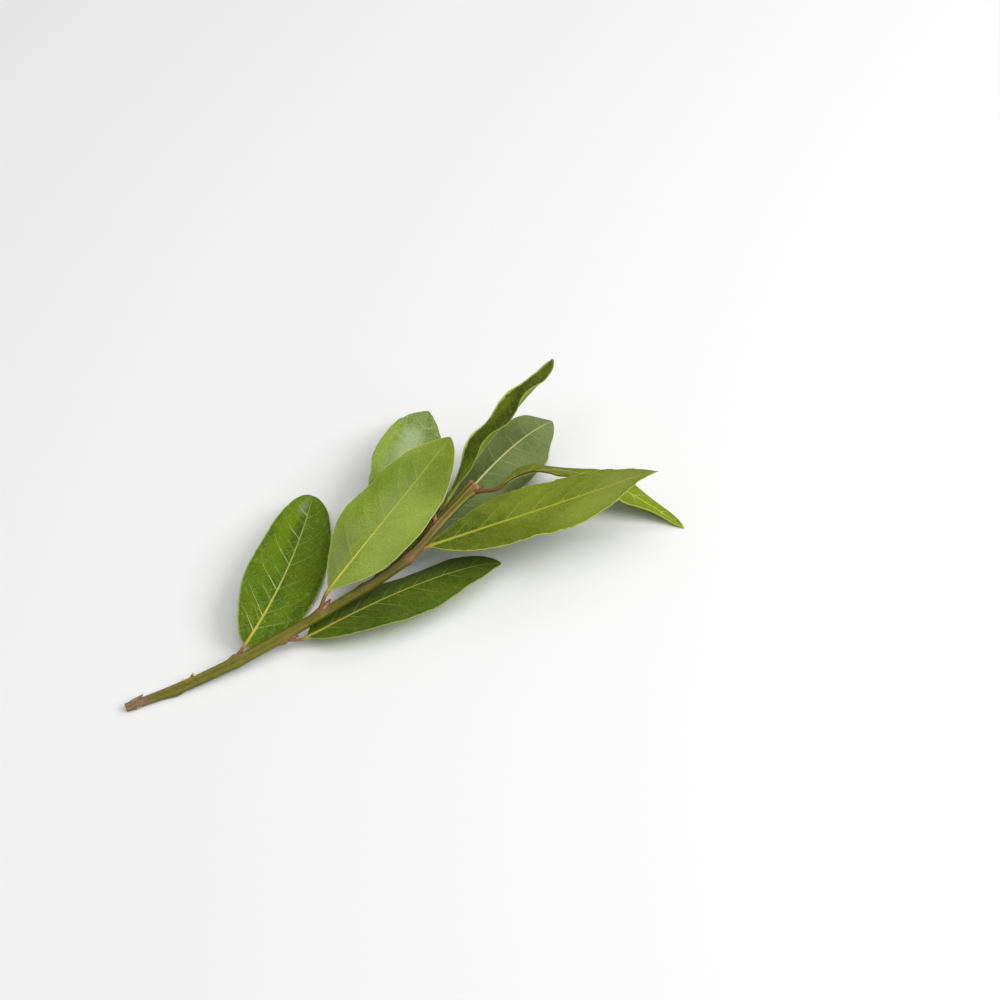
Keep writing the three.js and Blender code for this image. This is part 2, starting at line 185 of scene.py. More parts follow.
def smooth_noise(rng, places, wavelength, reach):
    """A seeded wandering value along a line, about -1 to 1."""
    knots = np.arange(-2, int(reach / wavelength) + 4)
    values = rng.uniform(-1, 1, len(knots))
    x = np.asarray(places, float) / wavelength
    low = np.floor(x)
    part = ease(x - low)
    index = np.clip(low.astype(int) + 2, 0, len(knots) - 2)
    return values[index] * (1 - part) + values[index + 1] * part


def smooth_patch(rng, x, y, size, reach):
    """A seeded wandering value over a plane, about -1 to 1."""
    count = int(reach / size) + 6
    values = rng.uniform(-1, 1, (count, count))
    x, y = np.asarray(x, float) / size + 2, np.asarray(y, float) / size + count / 2
    i, j = np.floor(x).astype(int), np.floor(y).astype(int)
    a, b = ease(x - i), ease(y - j)
    i, j = np.clip(i, 0, count - 2), np.clip(j, 0, count - 2)
    low = values[i, j] * (1 - a) + values[i + 1, j] * a
    high = values[i, j + 1] * (1 - a) + values[i + 1, j + 1] * a
    return low * (1 - b) + high * b


def add_object(name, data):
    made = bpy.data.objects.new(name, data)
    bpy.context.scene.collection.objects.link(made)
    return made


def make_piece(name, points, faces, materials, face_material=None, values=None, vectors=None, maps=None):
    """A smooth shaded mesh object in the frame, with its own values on points and flat maps."""
    mesh = bpy.data.meshes.new(name)
    mesh.from_pydata(to_metres(points).tolist(), [], faces)
    for material in materials:
        mesh.materials.append(material)
    mesh.polygons.foreach_set("use_smooth", np.ones(len(mesh.polygons), bool))
    if face_material is not None:
        mesh.polygons.foreach_set("material_index", np.asarray(face_material, np.int32))
    for kind, field, layers in (("FLOAT", "value", values), ("FLOAT_VECTOR", "vector", vectors)):
        for key, value in (layers or {}).items():
            layer = mesh.attributes.new(key, kind, "POINT")
            layer.data.foreach_set(field, np.asarray(value, np.float32).ravel())
    corner_points = np.empty(len(mesh.loops), np.int32)
    mesh.loops.foreach_get("vertex_index", corner_points)
    for key, value in (maps or {}).items():
        layer = mesh.uv_layers.new(name=key)
        layer.data.foreach_set("uv", np.asarray(value, np.float32)[corner_points].ravel())
    mesh.update()
    return add_object(name, mesh)


def closed_faces(rings, size, first=0):
    """Quads that join rings of the same size, each closed on itself, and a face over each end."""
    i, k = np.meshgrid(np.arange(rings - 1), np.arange(size), indexing="ij")
    a = first + i * size + k
    b = first + i * size + (k + 1) % size
    quads = np.stack([a, b, b + size, a + size], -1).reshape(-1, 4).tolist()
    last = first + (rings - 1) * size
    return quads + [list(range(first + size - 1, first - 1, -1)), list(range(last, last + size))]


# ---- Stem route --------------------------------------------------------------------------------------

def smooth_route(points, per_span=400):
    """The curve through the points, with its places along its own length."""
    p = np.array(points, float)
    p = np.vstack([2 * p[0] - p[1], p, 2 * p[-1] - p[-2]])
    u = (np.arange(per_span) / per_span)[:, None]
    spans = []
    for a, b, c, d in zip(p, p[1:], p[2:], p[3:]):
        start, end = 0.5 * (c - a), 0.5 * (d - b)
        spans.append(
            (2 * u**3 - 3 * u**2 + 1) * b + (u**3 - 2 * u**2 + u) * start
            + (3 * u**2 - 2 * u**3) * c + (u**3 - u**2) * end
        )
    line = np.vstack(spans + [p[-2:-1]])
    steps = np.linalg.norm(np.diff(line, axis=0), axis=1)
    return line, np.concatenate([[0], np.cumsum(steps)])


STEM_LINE, STEM_PLACES = smooth_route(STEM_ROUTE)
STEM_LENGTH = STEM_PLACES[-1]
STEM_FORWARD = unit(np.gradient(STEM_LINE, axis=0))


def blend_along(table, places, at):
    """A vector of a table of places, at other places."""
    return np.stack([np.interp(at, places, table[:, axis]) for axis in range(3)], -1)


def stem_at(distance):
    """Centre, forward, left and up of the stem at places along it."""
    centre = blend_along(STEM_LINE, STEM_PLACES, distance)
    forward = unit(blend_along(STEM_FORWARD, STEM_PLACES, distance))
    left = unit(np.cross(UP, forward))
    return centre, forward, left, np.cross(forward, left)


def stem_radius(distance):
    distance = np.asarray(distance, float)
    places, radii = np.array(STEM_RADIUS, float).T
    height, length = NODE_SWELLING["height"], NODE_SWELLING["length"]
    swellings = [height * bell(distance - leaf["node"], length) for leaf in LEAVES.values()]
    flare = PRUNED_TIP["flare"] * ease(1 - (STEM_LENGTH - distance) / PRUNED_TIP["length"])
    return np.interp(distance, places, radii) + np.max(swellings, axis=0) + flare


def stem_outward(left, up, around):
    """The way out of the stem. around: 0 is up, 90 is to its left."""
    angle = math.radians(around)
    return up * math.cos(angle) + left * math.sin(angle)


def stalk_root(leaf):
    """Where a leaf stalk starts on the middle line of the stem, and the way it sets off."""
    centre, forward, left, up = stem_at(leaf["node"])
    to_base = np.array(leaf["base"], float) - centre
    direction = unit(to_base - 0.4 * np.dot(to_base, forward) * forward)
    around = math.degrees(math.atan2(np.dot(direction, left), np.dot(direction, up)))
    return centre, direction, forward, np.linalg.norm(to_base), around


# ---- Leaf shape --------------------------------------------------------------------------------------

def midrib_line(leaf):
    """Places along the midrib with the blade's own forward, left and upper-face directions."""
    heading, pitch, roll = (math.radians(leaf[key]) for key in ("heading", "pitch", "roll"))
    forward = np.array([
        math.cos(pitch) * math.cos(heading), math.cos(pitch) * math.sin(heading), math.sin(pitch)])
    level = np.array([-math.sin(heading), math.cos(heading), 0.0])
    left, face = turn(level, np.cross(forward, level), roll)
    centre = np.array(leaf["base"], float)
    rows = [(centre, forward, left, face)]
    for i in range(BLADE_STEPS):
        t = (i + 0.5) / BLADE_STEPS
        hook = leaf["hook"] / TIP_PART if t > 1 - TIP_PART else 0
        bend = math.radians(leaf["bend"] + hook) / BLADE_STEPS / 2
        arch = math.radians(leaf["arch"] + 3 * leaf["curl"] * t * t) / BLADE_STEPS / 2
        twist = math.radians(leaf["twist"]) / BLADE_STEPS / 2
        for half in range(2):
            forward, left = turn(forward, left, bend)
            forward, face = turn(forward, face, -arch)
            left, face = turn(left, face, twist)
            if half == 0:
                centre = centre + forward * leaf["length"] / BLADE_STEPS
        rows.append((centre, forward, left, face))
    return [np.array(column) for column in zip(*rows)]


def half_width(leaf, t):
    widest = leaf["widest"]
    away = np.where(t < widest, (widest - t) / widest, (t - widest) / (1 - widest))
    shape = np.where(t < widest, leaf["base_shape"], leaf["tip_shape"])
    return leaf["width"] / 2 * np.maximum(1 - away**2, 0) ** shape


def side_veins(rng, count):
    """Where the side veins of one half leave the midrib, and how strong each is."""
    gaps = rng.uniform(0.8, 1.2, count)
    gaps[:2] *= 0.75
    main = 0.04 + 0.88 * (np.cumsum(gaps) - gaps[0] * 0.5) / np.sum(gaps)
    between = (main[:-1] + main[1:]) / 2 + rng.uniform(-0.02, 0.02, count - 1)
    places = np.concatenate([main, between])
    strength = np.concatenate([rng.uniform(0.75, 1, count), rng.uniform(0.2, 0.5, count - 1)])
    return main, places, strength, np.arange(len(places)) < count


def vein_rows(leaf, halves):
    """Rows from foot to tip: evenly spread, with a close set at every side vein."""
    even = np.linspace(0, 1, EVEN_ROWS)
    at_veins = np.concatenate([half[1] for half in halves])
    close = (at_veins[:, None] + ROWS_AT_VEIN / leaf["length"]).ravel()
    clear = np.min(np.abs(even[:, None] - close[None]), axis=1) > 0.12 / leaf["length"]
    rows = np.sort(np.concatenate([even[clear | (even == 0) | (even == 1)], close]))
    keep = np.concatenate([[True], np.diff(rows) > 0.04 / leaf["length"]])
    rows = rows[keep]
    rows[-1] = 1.0
    return rows


def vein_values(leaf, rows, reach, half):
    """Distance from the nearest side vein, its strength, distance from the outer loops, and vein count."""
    main, places, strength, is_main = half
    gap = np.abs(rows[:, None] - places[None]) * leaf["length"] * 0.8
    nearest = np.argmin(gap, axis=1)
    distance = np.repeat(gap[np.arange(len(rows)), nearest][:, None], len(reach), axis=1)
    fade_main = (1 - 0.62 * reach) * (1 - ease(reach, 0.7, 0.98))
    fade_between = 1 - ease(reach, 0.25, 0.62)
    fade = np.where(is_main[nearest][:, None], fade_main[None], fade_between[None])
    weight = strength[nearest][:, None] * fade
    order = np.interp(rows, main, np.arange(len(main)))[:, None]
    scallop = 0.77 + 0.1 * np.abs(np.sin(math.pi * order))
    loop = np.abs(reach[None] - scallop) * leaf["width"] / 2
    return distance, weight, loop, order


def blade_points(leaf, seed):
    """Points of the blade and its stalk, ring by ring, with the values that its finish reads."""
    rng = np.random.default_rng(seed)
    length, half_wide = leaf["length"], leaf["width"] / 2
    line = midrib_line(leaf)
    t_line = np.linspace(0, 1, BLADE_STEPS + 1)
    halves = [side_veins(rng, leaf["veins"]) for _ in range(2)]
    rows = vein_rows(leaf, halves)
    v = np.concatenate([-BLADE_COLUMNS[:0:-1], BLADE_COLUMNS])
    reach, side = np.abs(v), np.sign(v)

    # Rows follow the side veins: they lean forward from the midrib and curve up near the margin.
    right_lean, left_lean = leaf["vein_lean"]
    lean = half_wide / length * np.where(v < 0, right_lean, left_lean) * (0.8 * reach + 0.3 * reach**3)
    grip = np.tanh(rows / 0.13) * np.tanh((1 - rows) / 0.32)
    row_mm = rows[:, None] * length
    stray = smooth_patch(rng, row_mm, v[None] * half_wide, 4.2, length * NOISE_ROOM)
    stray = 0.85 * stray * ease(reach, 0.1, 0.6)[None] / length
    t = rows[:, None] + grip[:, None] * (lean[None] + stray)
    t = np.maximum.accumulate(t, axis=0)
    centre, _, left, face = (blend_along(table, t_line, t) for table in line)
    left, face = unit(left), unit(face)

    def wander(wavelength):
        return smooth_noise(rng, t * length, wavelength, length * NOISE_ROOM)

    rib = np.interp(t, RIB_PLACES, RIB_RADII)
    narrowest = TIP_HALF_WIDTH + (rib - TIP_HALF_WIDTH) * (1 - ease(t, 0.0, 0.1))
    wide = half_width(leaf, t)
    for mask in (v < 0, v > 0):
        nick = 0.8 * wander(3.0) + leaf["teeth"] * wander(1.3)
        nick = leaf["nicks"] * (nick + wander(8.0))
        wide = wide + np.where(mask[None], nick, 0) * np.clip(wide / 5, 0, 1)
    for dent_side, place, long, deep in leaf["dents"]:
        wide = wide - np.where(v[None] * dent_side > 0, deep * bell((t - place) * length, long), 0)
    wide = np.maximum(wide, narrowest)
    across = reach[None] * wide
    raise_by = np.radians(leaf["fold"] + leaf["cup"] * reach[None] / 2) * ease(t, -0.02, 0.05)
    swell = np.sin(math.pi * np.clip(t, 0, 1)) ** 0.6
    phase = leaf["phase"] + np.where(v < 0, leaf["lag"], 0)
    wave = leaf["wave"] * reach**2 * swell * np.sin(2 * math.pi * (leaf["waves"] * t + phase[None]))

    by_half = [vein_values(leaf, rows, reach, half) for half in halves]
    vein, weight, loop, order = (
        np.where((side > 0)[None], left_value, right_value) for right_value, left_value in zip(*by_half))
    weight = weight * np.where(v < 0, *leaf["vein_show"])[None]

    # The blade puffs up between its side veins, and its margin is finely waved.
    puff = PUFF_HEIGHT * np.abs(np.sin(math.pi * order)) ** 1.3 * ease(reach, 0.03, 0.4)
    puff = puff * (1 - ease(reach, 0.75, 1)) * swell
    ripple = np.zeros_like(t)
    for mask in (v < 0, v > 0):
        ripple += np.where(mask[None], 0.22 * wander(3.4) + 0.3 * wander(9.0), 0)
    ripple = leaf["ripple"] * ripple * (reach**5)[None] * swell
    drift = wander(14.0) * 0.3 * reach[None] * swell

    # Half of the section: a thin blade with a rounded edge, and a midrib that stands out below it.
    edge = np.sqrt(np.clip(1 - ((across - (wide - EDGE_ROUND)) / EDGE_ROUND) ** 2, 0, 1))
    thin = BLADE_THICKNESS / 2 * np.where(across > wide - EDGE_ROUND, edge, 1)
    thin = thin * np.where(across > wide - 1.2, 1 + 0.35 * bell(wide - across - 0.3, 0.22), 1)
    arc = np.sqrt(np.clip(rib**2 - across**2, 0, None))
    ridge = weight * bell(vein, VEIN_RIDGE["width"]) * ease(across, 0.2, 0.6)
    above = np.maximum(thin, arc * (0.4 + 0.45 * (1 - ease(t, 0, 0.1)))) + VEIN_RIDGE["above"] * ridge
    below = np.maximum(thin, arc) + VEIN_RIDGE["below"] * ridge

    normal = face * np.cos(raise_by)[..., None] - left * (side[None] * np.sin(raise_by))[..., None]
    middle = (
        centre + left * (side[None] * across * np.cos(raise_by))[..., None]
        + face * (across * np.sin(raise_by))[..., None]
        + normal * (wave + puff + ripple + drift)[..., None])
    values = dict(
        along_blade=t, across_blade=np.broadcast_to(v[None], t.shape), vein_mm=vein, vein_weight=weight,
        loop_mm=loop, midrib_mm=across, margin_mm=wide - across, stalk=np.zeros_like(t))
    plan = np.stack([t * length, side[None] * across], -1)
    ladder = np.stack([np.broadcast_to(row_mm, t.shape), across + 0.45 * row_mm + 50 * (side < 0)[None]], -1)
    top = middle + normal * above[..., None]
    low = middle - normal * below[..., None]
    stalk_top, stalk_low, stalk_values, stalk_plan = stalk_points(leaf, line, v)

    def whole_rings(upper, under):
        """Stalk and blade in one: their upper faces, then their undersides, go round each ring."""
        return np.concatenate([np.concatenate(upper), np.concatenate(under)[:, -2:0:-1]], axis=1)

    def both_faces(*parts):
        return whole_rings(parts, parts)

    rings = whole_rings((stalk_top, top), (stalk_low, low))
    values = {key: both_faces(stalk_values[key], value) for key, value in values.items()}
    maps = {"leaf_plan": both_faces(stalk_plan, plan), "vein_plan": both_faces(stalk_plan, ladder)}
    return rings, values, maps, len(v)


def stalk_points(leaf, line, v):
    """The stalk, from inside the stem to the foot of the blade, on the blade's own columns."""
    root, direction, _, span, _ = stalk_root(leaf)
    foot, foot_forward, foot_left = line[0][0], line[1][0], line[2][0]
    handles = [root, root + direction * 0.4 * span, foot - foot_forward * 0.35 * span, foot]
    u = np.linspace(STALK_START, 1, STALK_RINGS)[:-1]
    a, b, c, d = (np.asarray(h)[None] for h in handles)
    w = u[:, None]
    place = (1 - w) ** 3 * a + 3 * (1 - w) ** 2 * w * b + 3 * (1 - w) * w**2 * c + w**3 * d
    tangent = unit(3 * (1 - w) ** 2 * (b - a) + 6 * (1 - w) * w * (c - b) + 3 * w**2 * (d - c))
    left = np.empty_like(place)
    current = foot_left
    for i in range(len(u) - 1, -1, -1):
        current = unit(current - np.dot(current, tangent[i]) * tangent[i])
        left[i] = current
    face = np.cross(tangent, left)
    out = np.linalg.norm(place - root, axis=1) - stem_radius(leaf["node"])
    slim = leaf["stalk_radius"]
    radius = slim + STALK_FOOT["extra"] * bell(np.maximum(out, 0), STALK_FOOT["reach"])
    radius = radius + (RIB_RADII[0] - slim) * ease(u, 0.6, 1)
    x = v[None] * radius[:, None]
    arc = np.sqrt(np.clip(radius[:, None] ** 2 - x**2, 0, None))
    hollow = 1 - 0.15 * bell(x, 0.3) * ease(u, 0.3, 0.7)[:, None]
    middle = place[:, None] + left[:, None] * x[..., None]
    top = middle + face[:, None] * (arc * 0.85 * hollow)[..., None]
    low = middle - face[:, None] * arc[..., None]
    flat = np.zeros_like(x)
    values = dict(
        along_blade=flat + (w - 1) * 0.1, across_blade=flat + v[None], midrib_mm=flat, vein_weight=flat,
        stalk=flat + (1 - w), **dict.fromkeys(("vein_mm", "loop_mm", "margin_mm"), flat + CLEAR_OF_VEINS))
    plan = np.stack([flat + (w - 1) * span, x], -1)
    return top, low, values, plan


# ---- Shading benches ---------------------------------------------------------------------------------

def linear_colour(screen):
    """A screen colour, 0 to 255, as the linear value that a shader takes."""
    def linear(c):
        c = c / 255
        return c / 12.92 if c <= 0.04045 else ((c + 0.055) / 1.055) ** 2.4
    return (*map(linear, screen), 1.0)


class Bench:
    """Adds nodes to one tree and joins them. An input may be another node's output or a plain value."""

    def __init__(self, tree):
        self.tree = tree

    def node(self, kind, inputs=None, **settings):
        made = self.tree.nodes.new("ShaderNode" + kind)
        for key, value in settings.items():
            setattr(made, key, value)
        for key, value in (inputs or {}).items():
            self.feed(made.inputs[key], value)
        return made

    def feed(self, socket, value):
        if isinstance(value, bpy.types.NodeSocket):
            self.tree.links.new(value, socket)
        elif value is not None:
            socket.default_value = value

    def chain(self, made, *values):
        """The first output of a node whose inputs take these values in order."""
        for socket, value in zip(made.inputs, values):
            self.feed(socket, value)
        return made.outputs[0]

    def sum(self, kind, *values, clamp=False):
        return self.chain(self.node("Math", operation=kind, use_clamp=clamp), *values)

    def times(self, a, b, clamp=False):
        return self.sum("MULTIPLY", a, b, clamp=clamp)

    def step(self, value, low, high, start=0.0, end=1.0):
        eased = self.node("MapRange", interpolation_type="SMOOTHSTEP")
        return self.chain(eased, value, low, high, start, end)

    def shift(self, place, by, amount=(1.0, 1.0, 1.0)):
        """A place moved by a vector, so much of it along each axis."""
        return self.chain(self.node("VectorMath", operation="MULTIPLY_ADD"), by, amount, place)

    def stretch(self, place, x, y=1.0):
        return self.node("Mapping", {"Vector": place, "Scale": (x, y, 1.0)}).outputs[0]

    def blend(self, amount, a, b):
        """Mixes two colours, each another node's output or a screen colour, 0 to 255."""
        made = self.node("Mix", data_type="RGBA")
        self.feed(made.inputs["Factor"], amount)
        for socket, value in ((made.inputs[6], a), (made.inputs[7], b)):
            self.feed(socket, linear_colour(value) if isinstance(value, tuple) else value)
        return made.outputs[2]

    def tint(self, base, mask, amount, tone):
        """The base colour, part of the way to another tone where the mask shows."""
        return self.blend(self.times(mask, amount), base, tone)

    def value_of(self, name, output="Fac"):
        return self.node("Attribute", attribute_name=name).outputs[output]

    def map_of(self, name):
        return self.node("UVMap", uv_map=name).outputs[0]

    def noise(self, place, scale, detail=3.0, rough=0.55, output="Fac"):
        inputs = {"Vector": place, "Scale": scale, "Detail": detail, "Roughness": rough}
        return self.node("TexNoise", inputs).outputs[output]

    def cells(self, place, scale, feature="DISTANCE_TO_EDGE"):
        return self.node("TexVoronoi", {"Vector": place, "Scale": scale}, feature=feature).outputs["Distance"]


def new_group(name, inputs, outputs):
    """An empty shader group with named number sockets, and its bench and ends."""
    tree = bpy.data.node_groups.new(name, "ShaderNodeTree")
    for socket, value in inputs.items():
        made = tree.interface.new_socket(name=socket, in_out="INPUT", socket_type="NodeSocketFloat")
        made.default_value = value
    for socket in outputs:
        tree.interface.new_socket(name=socket, in_out="OUTPUT", socket_type="NodeSocketFloat")
    given, out = tree.nodes.new("NodeGroupInput"), tree.nodes.new("NodeGroupOutput")
    return tree, Bench(tree), given.outputs, out.inputs


def place_group(bench, group, **values):
    made = bench.node("Group", node_tree=group)
    for key, value in values.items():
        bench.feed(made.inputs[key.replace("_", " ")], value)
    return made.outputs


def leaf_vein_group():
    """Masks for the midrib, side veins, nets, rungs and pale rim of a leaf, in its own coordinates."""
    tree, b, given, out = new_group(
        "leaf_veins",
        {"Side Width": 0.3, "Midrib Width": 0.5, "Net Size": 2.4, "Net Width": 0.1, "Rim Width": 0.3},
        ["Midrib", "Side Veins", "Halo", "Net", "Fine Net", "Rungs", "Rim"])
    plan, vein_plan = b.map_of("leaf_plan"), b.map_of("vein_plan")
    along, vein, weight, across, loop, rib, margin = map(b.value_of, (
        "along_blade", "vein_mm", "vein_weight", "across_blade", "loop_mm", "midrib_mm", "margin_mm"))
    wander = b.noise(plan, 0.35, 2.0)

    taper = b.times(b.step(along, -0.02, 0.25, 1.0, 0.72), b.step(along, 0.1, 1.0, 1.0, 0.5))
    rib_width = b.times(given["Midrib Width"], taper)
    b.feed(out["Midrib"], b.step(rib, b.times(rib_width, 1.25), b.times(rib_width, 0.7)))

    strength = b.times(weight, b.step(wander, 0.25, 0.6, 0.45, 1.0))
    side_width = b.times(given["Side Width"], b.step(b.sum("ABSOLUTE", across), 0.0, 0.8, 1.3, 0.6))
    side = b.times(b.step(vein, side_width, b.times(side_width, 0.25)), strength)
    looped = b.step(loop, b.times(given["Side Width"], 0.8), 0.02, 0.0, 0.38)
    looped = b.times(looped, b.step(wander, 0.4, 0.62))
    b.feed(out["Side Veins"], b.sum("MAXIMUM", side, looped))
    b.feed(out["Halo"], b.times(b.step(vein, 1.5, 0.1), strength))

    bend = b.noise(plan, 0.5, 1.0, 0.5, "Color")
    net_place = b.shift(plan, bend, (1.6, 1.6, 0.0))
    scale = b.sum("DIVIDE", 1.0, given["Net Size"])
    b.feed(out["Net"], b.step(b.cells(net_place, scale), given["Net Width"], 0.01))
    fine = b.cells(net_place, b.times(scale, 3.1))
    b.feed(out["Fine Net"], b.step(fine, b.times(given["Net Width"], 1.7), 0.02))

    # Rungs cross between neighbouring side veins, as on a ladder, and come and go.
    rung_place = b.stretch(b.shift(vein_plan, bend, (0.5, 0.35, 0.0)), 0.24, 0.95)
    folds = b.sum("SUBTRACT", b.noise(rung_place, 1.0, 1.0, 0.5), 0.5)
    rungs = b.step(b.sum("ABSOLUTE", folds), 0.05, 0.008)
    b.feed(out["Rungs"], b.times(rungs, b.step(b.noise(plan, 0.5, 3.0, 0.6), 0.38, 0.6)))
    rim_width = b.times(given["Rim Width"], b.step(wander, 0.2, 0.8, 0.6, 1.4))
    b.feed(out["Rim"], b.step(margin, rim_width, b.times(rim_width, 0.45)))
    return tree


def leaf_tone_group():
    """Soft colour drift and fine mottling over a leaf."""
    tree, b, given, out = new_group(
        "leaf_tone", {"Drift Size": 18.0, "Speck Size": 0.9, "Seed": 0.0},
        ["Drift", "Clouds", "Mottle", "Flecks", "Specks", "Dust"])
    seed = b.node("CombineXYZ", {"X": given["Seed"], "Y": given["Seed"]}).outputs[0]
    place = b.shift(b.map_of("leaf_plan"), seed)
    # Each tone: how close its noise is, its detail and roughness, and where it sets in and is full.
    for tone, scale, detail, rough, low, high in (
            ("Drift", b.sum("DIVIDE", 1.0, given["Drift Size"]), 2.0, 0.5, 0.32, 0.68),
            ("Clouds", 0.24, 3.0, 0.55, 0.4, 0.62),
            ("Mottle", b.sum("DIVIDE", 1.0, given["Speck Size"]), 3.0, 0.6, 0.3, 0.72),
            ("Flecks", b.sum("DIVIDE", 1.5, given["Speck Size"]), 2.0, 0.6, 0.44, 0.66),
            ("Dust", 0.22, 4.0, 0.65, 0.35, 0.75)):
        b.feed(out[tone], b.step(b.noise(place, scale, detail, rough), low, high))
    specks = b.cells(place, b.sum("DIVIDE", 0.75, given["Speck Size"]), "F1")
    b.feed(out["Specks"], b.step(specks, 0.28, 0.08))
    return tree


def leaf_relief_group():
    """Height of the fine relief of a leaf skin, in millimetres."""
    heights = {"Net": 0.03, "Fine Net": 0.018, "Rungs": 0.03, "Side Veins": 0.04}
    tree, b, given, out = new_group("leaf_relief", {**dict.fromkeys(heights, 0.0), "Grain": 0.02}, ["Height"])
    height = b.times(b.noise(b.map_of("leaf_plan"), 3.2, 3.0, 0.6), given["Grain"])
    for form, high in heights.items():
        height = b.sum("MULTIPLY_ADD", given[form], high, height)
    b.feed(out["Height"], height)
    return tree


def leaf_patch_group():
    """A soft ragged patch on a leaf, round a place given along and across the blade."""
    tree, b, given, out = new_group(
        "leaf_patch", {"Along": 0.5, "Across": 0.0, "Long": 0.3, "Wide": 0.5}, ["Mask"])
    squares = []
    for value, place, size in (("along_blade", "Along", "Long"), ("across_blade", "Across", "Wide")):
        gap = b.sum("DIVIDE", b.sum("SUBTRACT", b.value_of(value), given[place]), given[size])
        squares.append(b.times(gap, gap))
    away = b.sum("SUBTRACT", b.sum("SQRT", b.sum("ADD", *squares)), 0.45)
    ragged = b.sum("MULTIPLY_ADD", b.noise(b.map_of("leaf_plan"), 0.16, 3.0, 0.6), 0.9, away)
    b.feed(out["Mask"], b.step(ragged, 1.15, 0.35))
    return tree


def bark_group():
    """Streaks along the stem, pale corky flecks and the height of both."""
    tree, b, given, out = new_group(
        "bark", {"Streak Width": 0.5, "Roughening": 0.0},
        ["Streaks", "Bands", "Flecks", "Specks", "Blotches", "Height"])
    place = b.value_of("bark_place", "Vector")
    fine = b.noise(b.stretch(place, 0.12), b.sum("DIVIDE", 1.0, given["Streak Width"]), 4.0, 0.6)
    flecks = b.step(b.cells(b.stretch(place, 0.42), 0.95, "F1"), 0.2, 0.1)
    b.feed(out["Streaks"], b.step(fine, 0.3, 0.7))
    b.feed(out["Bands"], b.step(b.noise(b.stretch(place, 0.02), 0.55, 2.0, 0.5), 0.38, 0.62))
    b.feed(out["Flecks"], flecks)
    b.feed(out["Specks"], b.step(b.noise(b.stretch(place, 0.7), 3.4, 3.0, 0.6), 0.57, 0.67))
    b.feed(out["Blotches"], b.step(b.noise(place, 0.45, 4.0, 0.65), 0.42, 0.64))
    rough = b.times(b.noise(b.stretch(place, 0.5), 3.0, 4.0, 0.7), given["Roughening"])
    height = b.sum("MULTIPLY_ADD", fine, 0.09, b.times(flecks, 0.06))
    b.feed(out["Height"], b.sum("MULTIPLY_ADD", rough, 0.3, height))
    return tree


LEAF_VEINS = leaf_vein_group()
LEAF_TONE = leaf_tone_group()
LEAF_RELIEF = leaf_relief_group()
LEAF_PATCH = leaf_patch_group()
BARK = bark_group()


# ---- Finishes ----------------------------------------------------------------------------------------

def new_finish(name):
    """A new material with its Principled shader, and a bench on its tree."""
    material = bpy.data.materials.new(name)
    material.use_nodes = True
    shader = next(n for n in material.node_tree.nodes if n.type == "BSDF_PRINCIPLED")
    return material, Bench(material.node_tree), shader


def dress(b, shader, base, rough, height, strength):
    """Feeds a shader its colour, its roughness and the height of its fine relief in millimetres."""
    b.feed(shader.inputs["Base Color"], base)
    b.feed(shader.inputs["Roughness"], rough)
    bump = b.node("Bump", {"Height": height, "Distance": MM, "Strength": strength})
    b.feed(shader.inputs["Normal"], bump.outputs[0])


PATCH_STRENGTH = 0.8


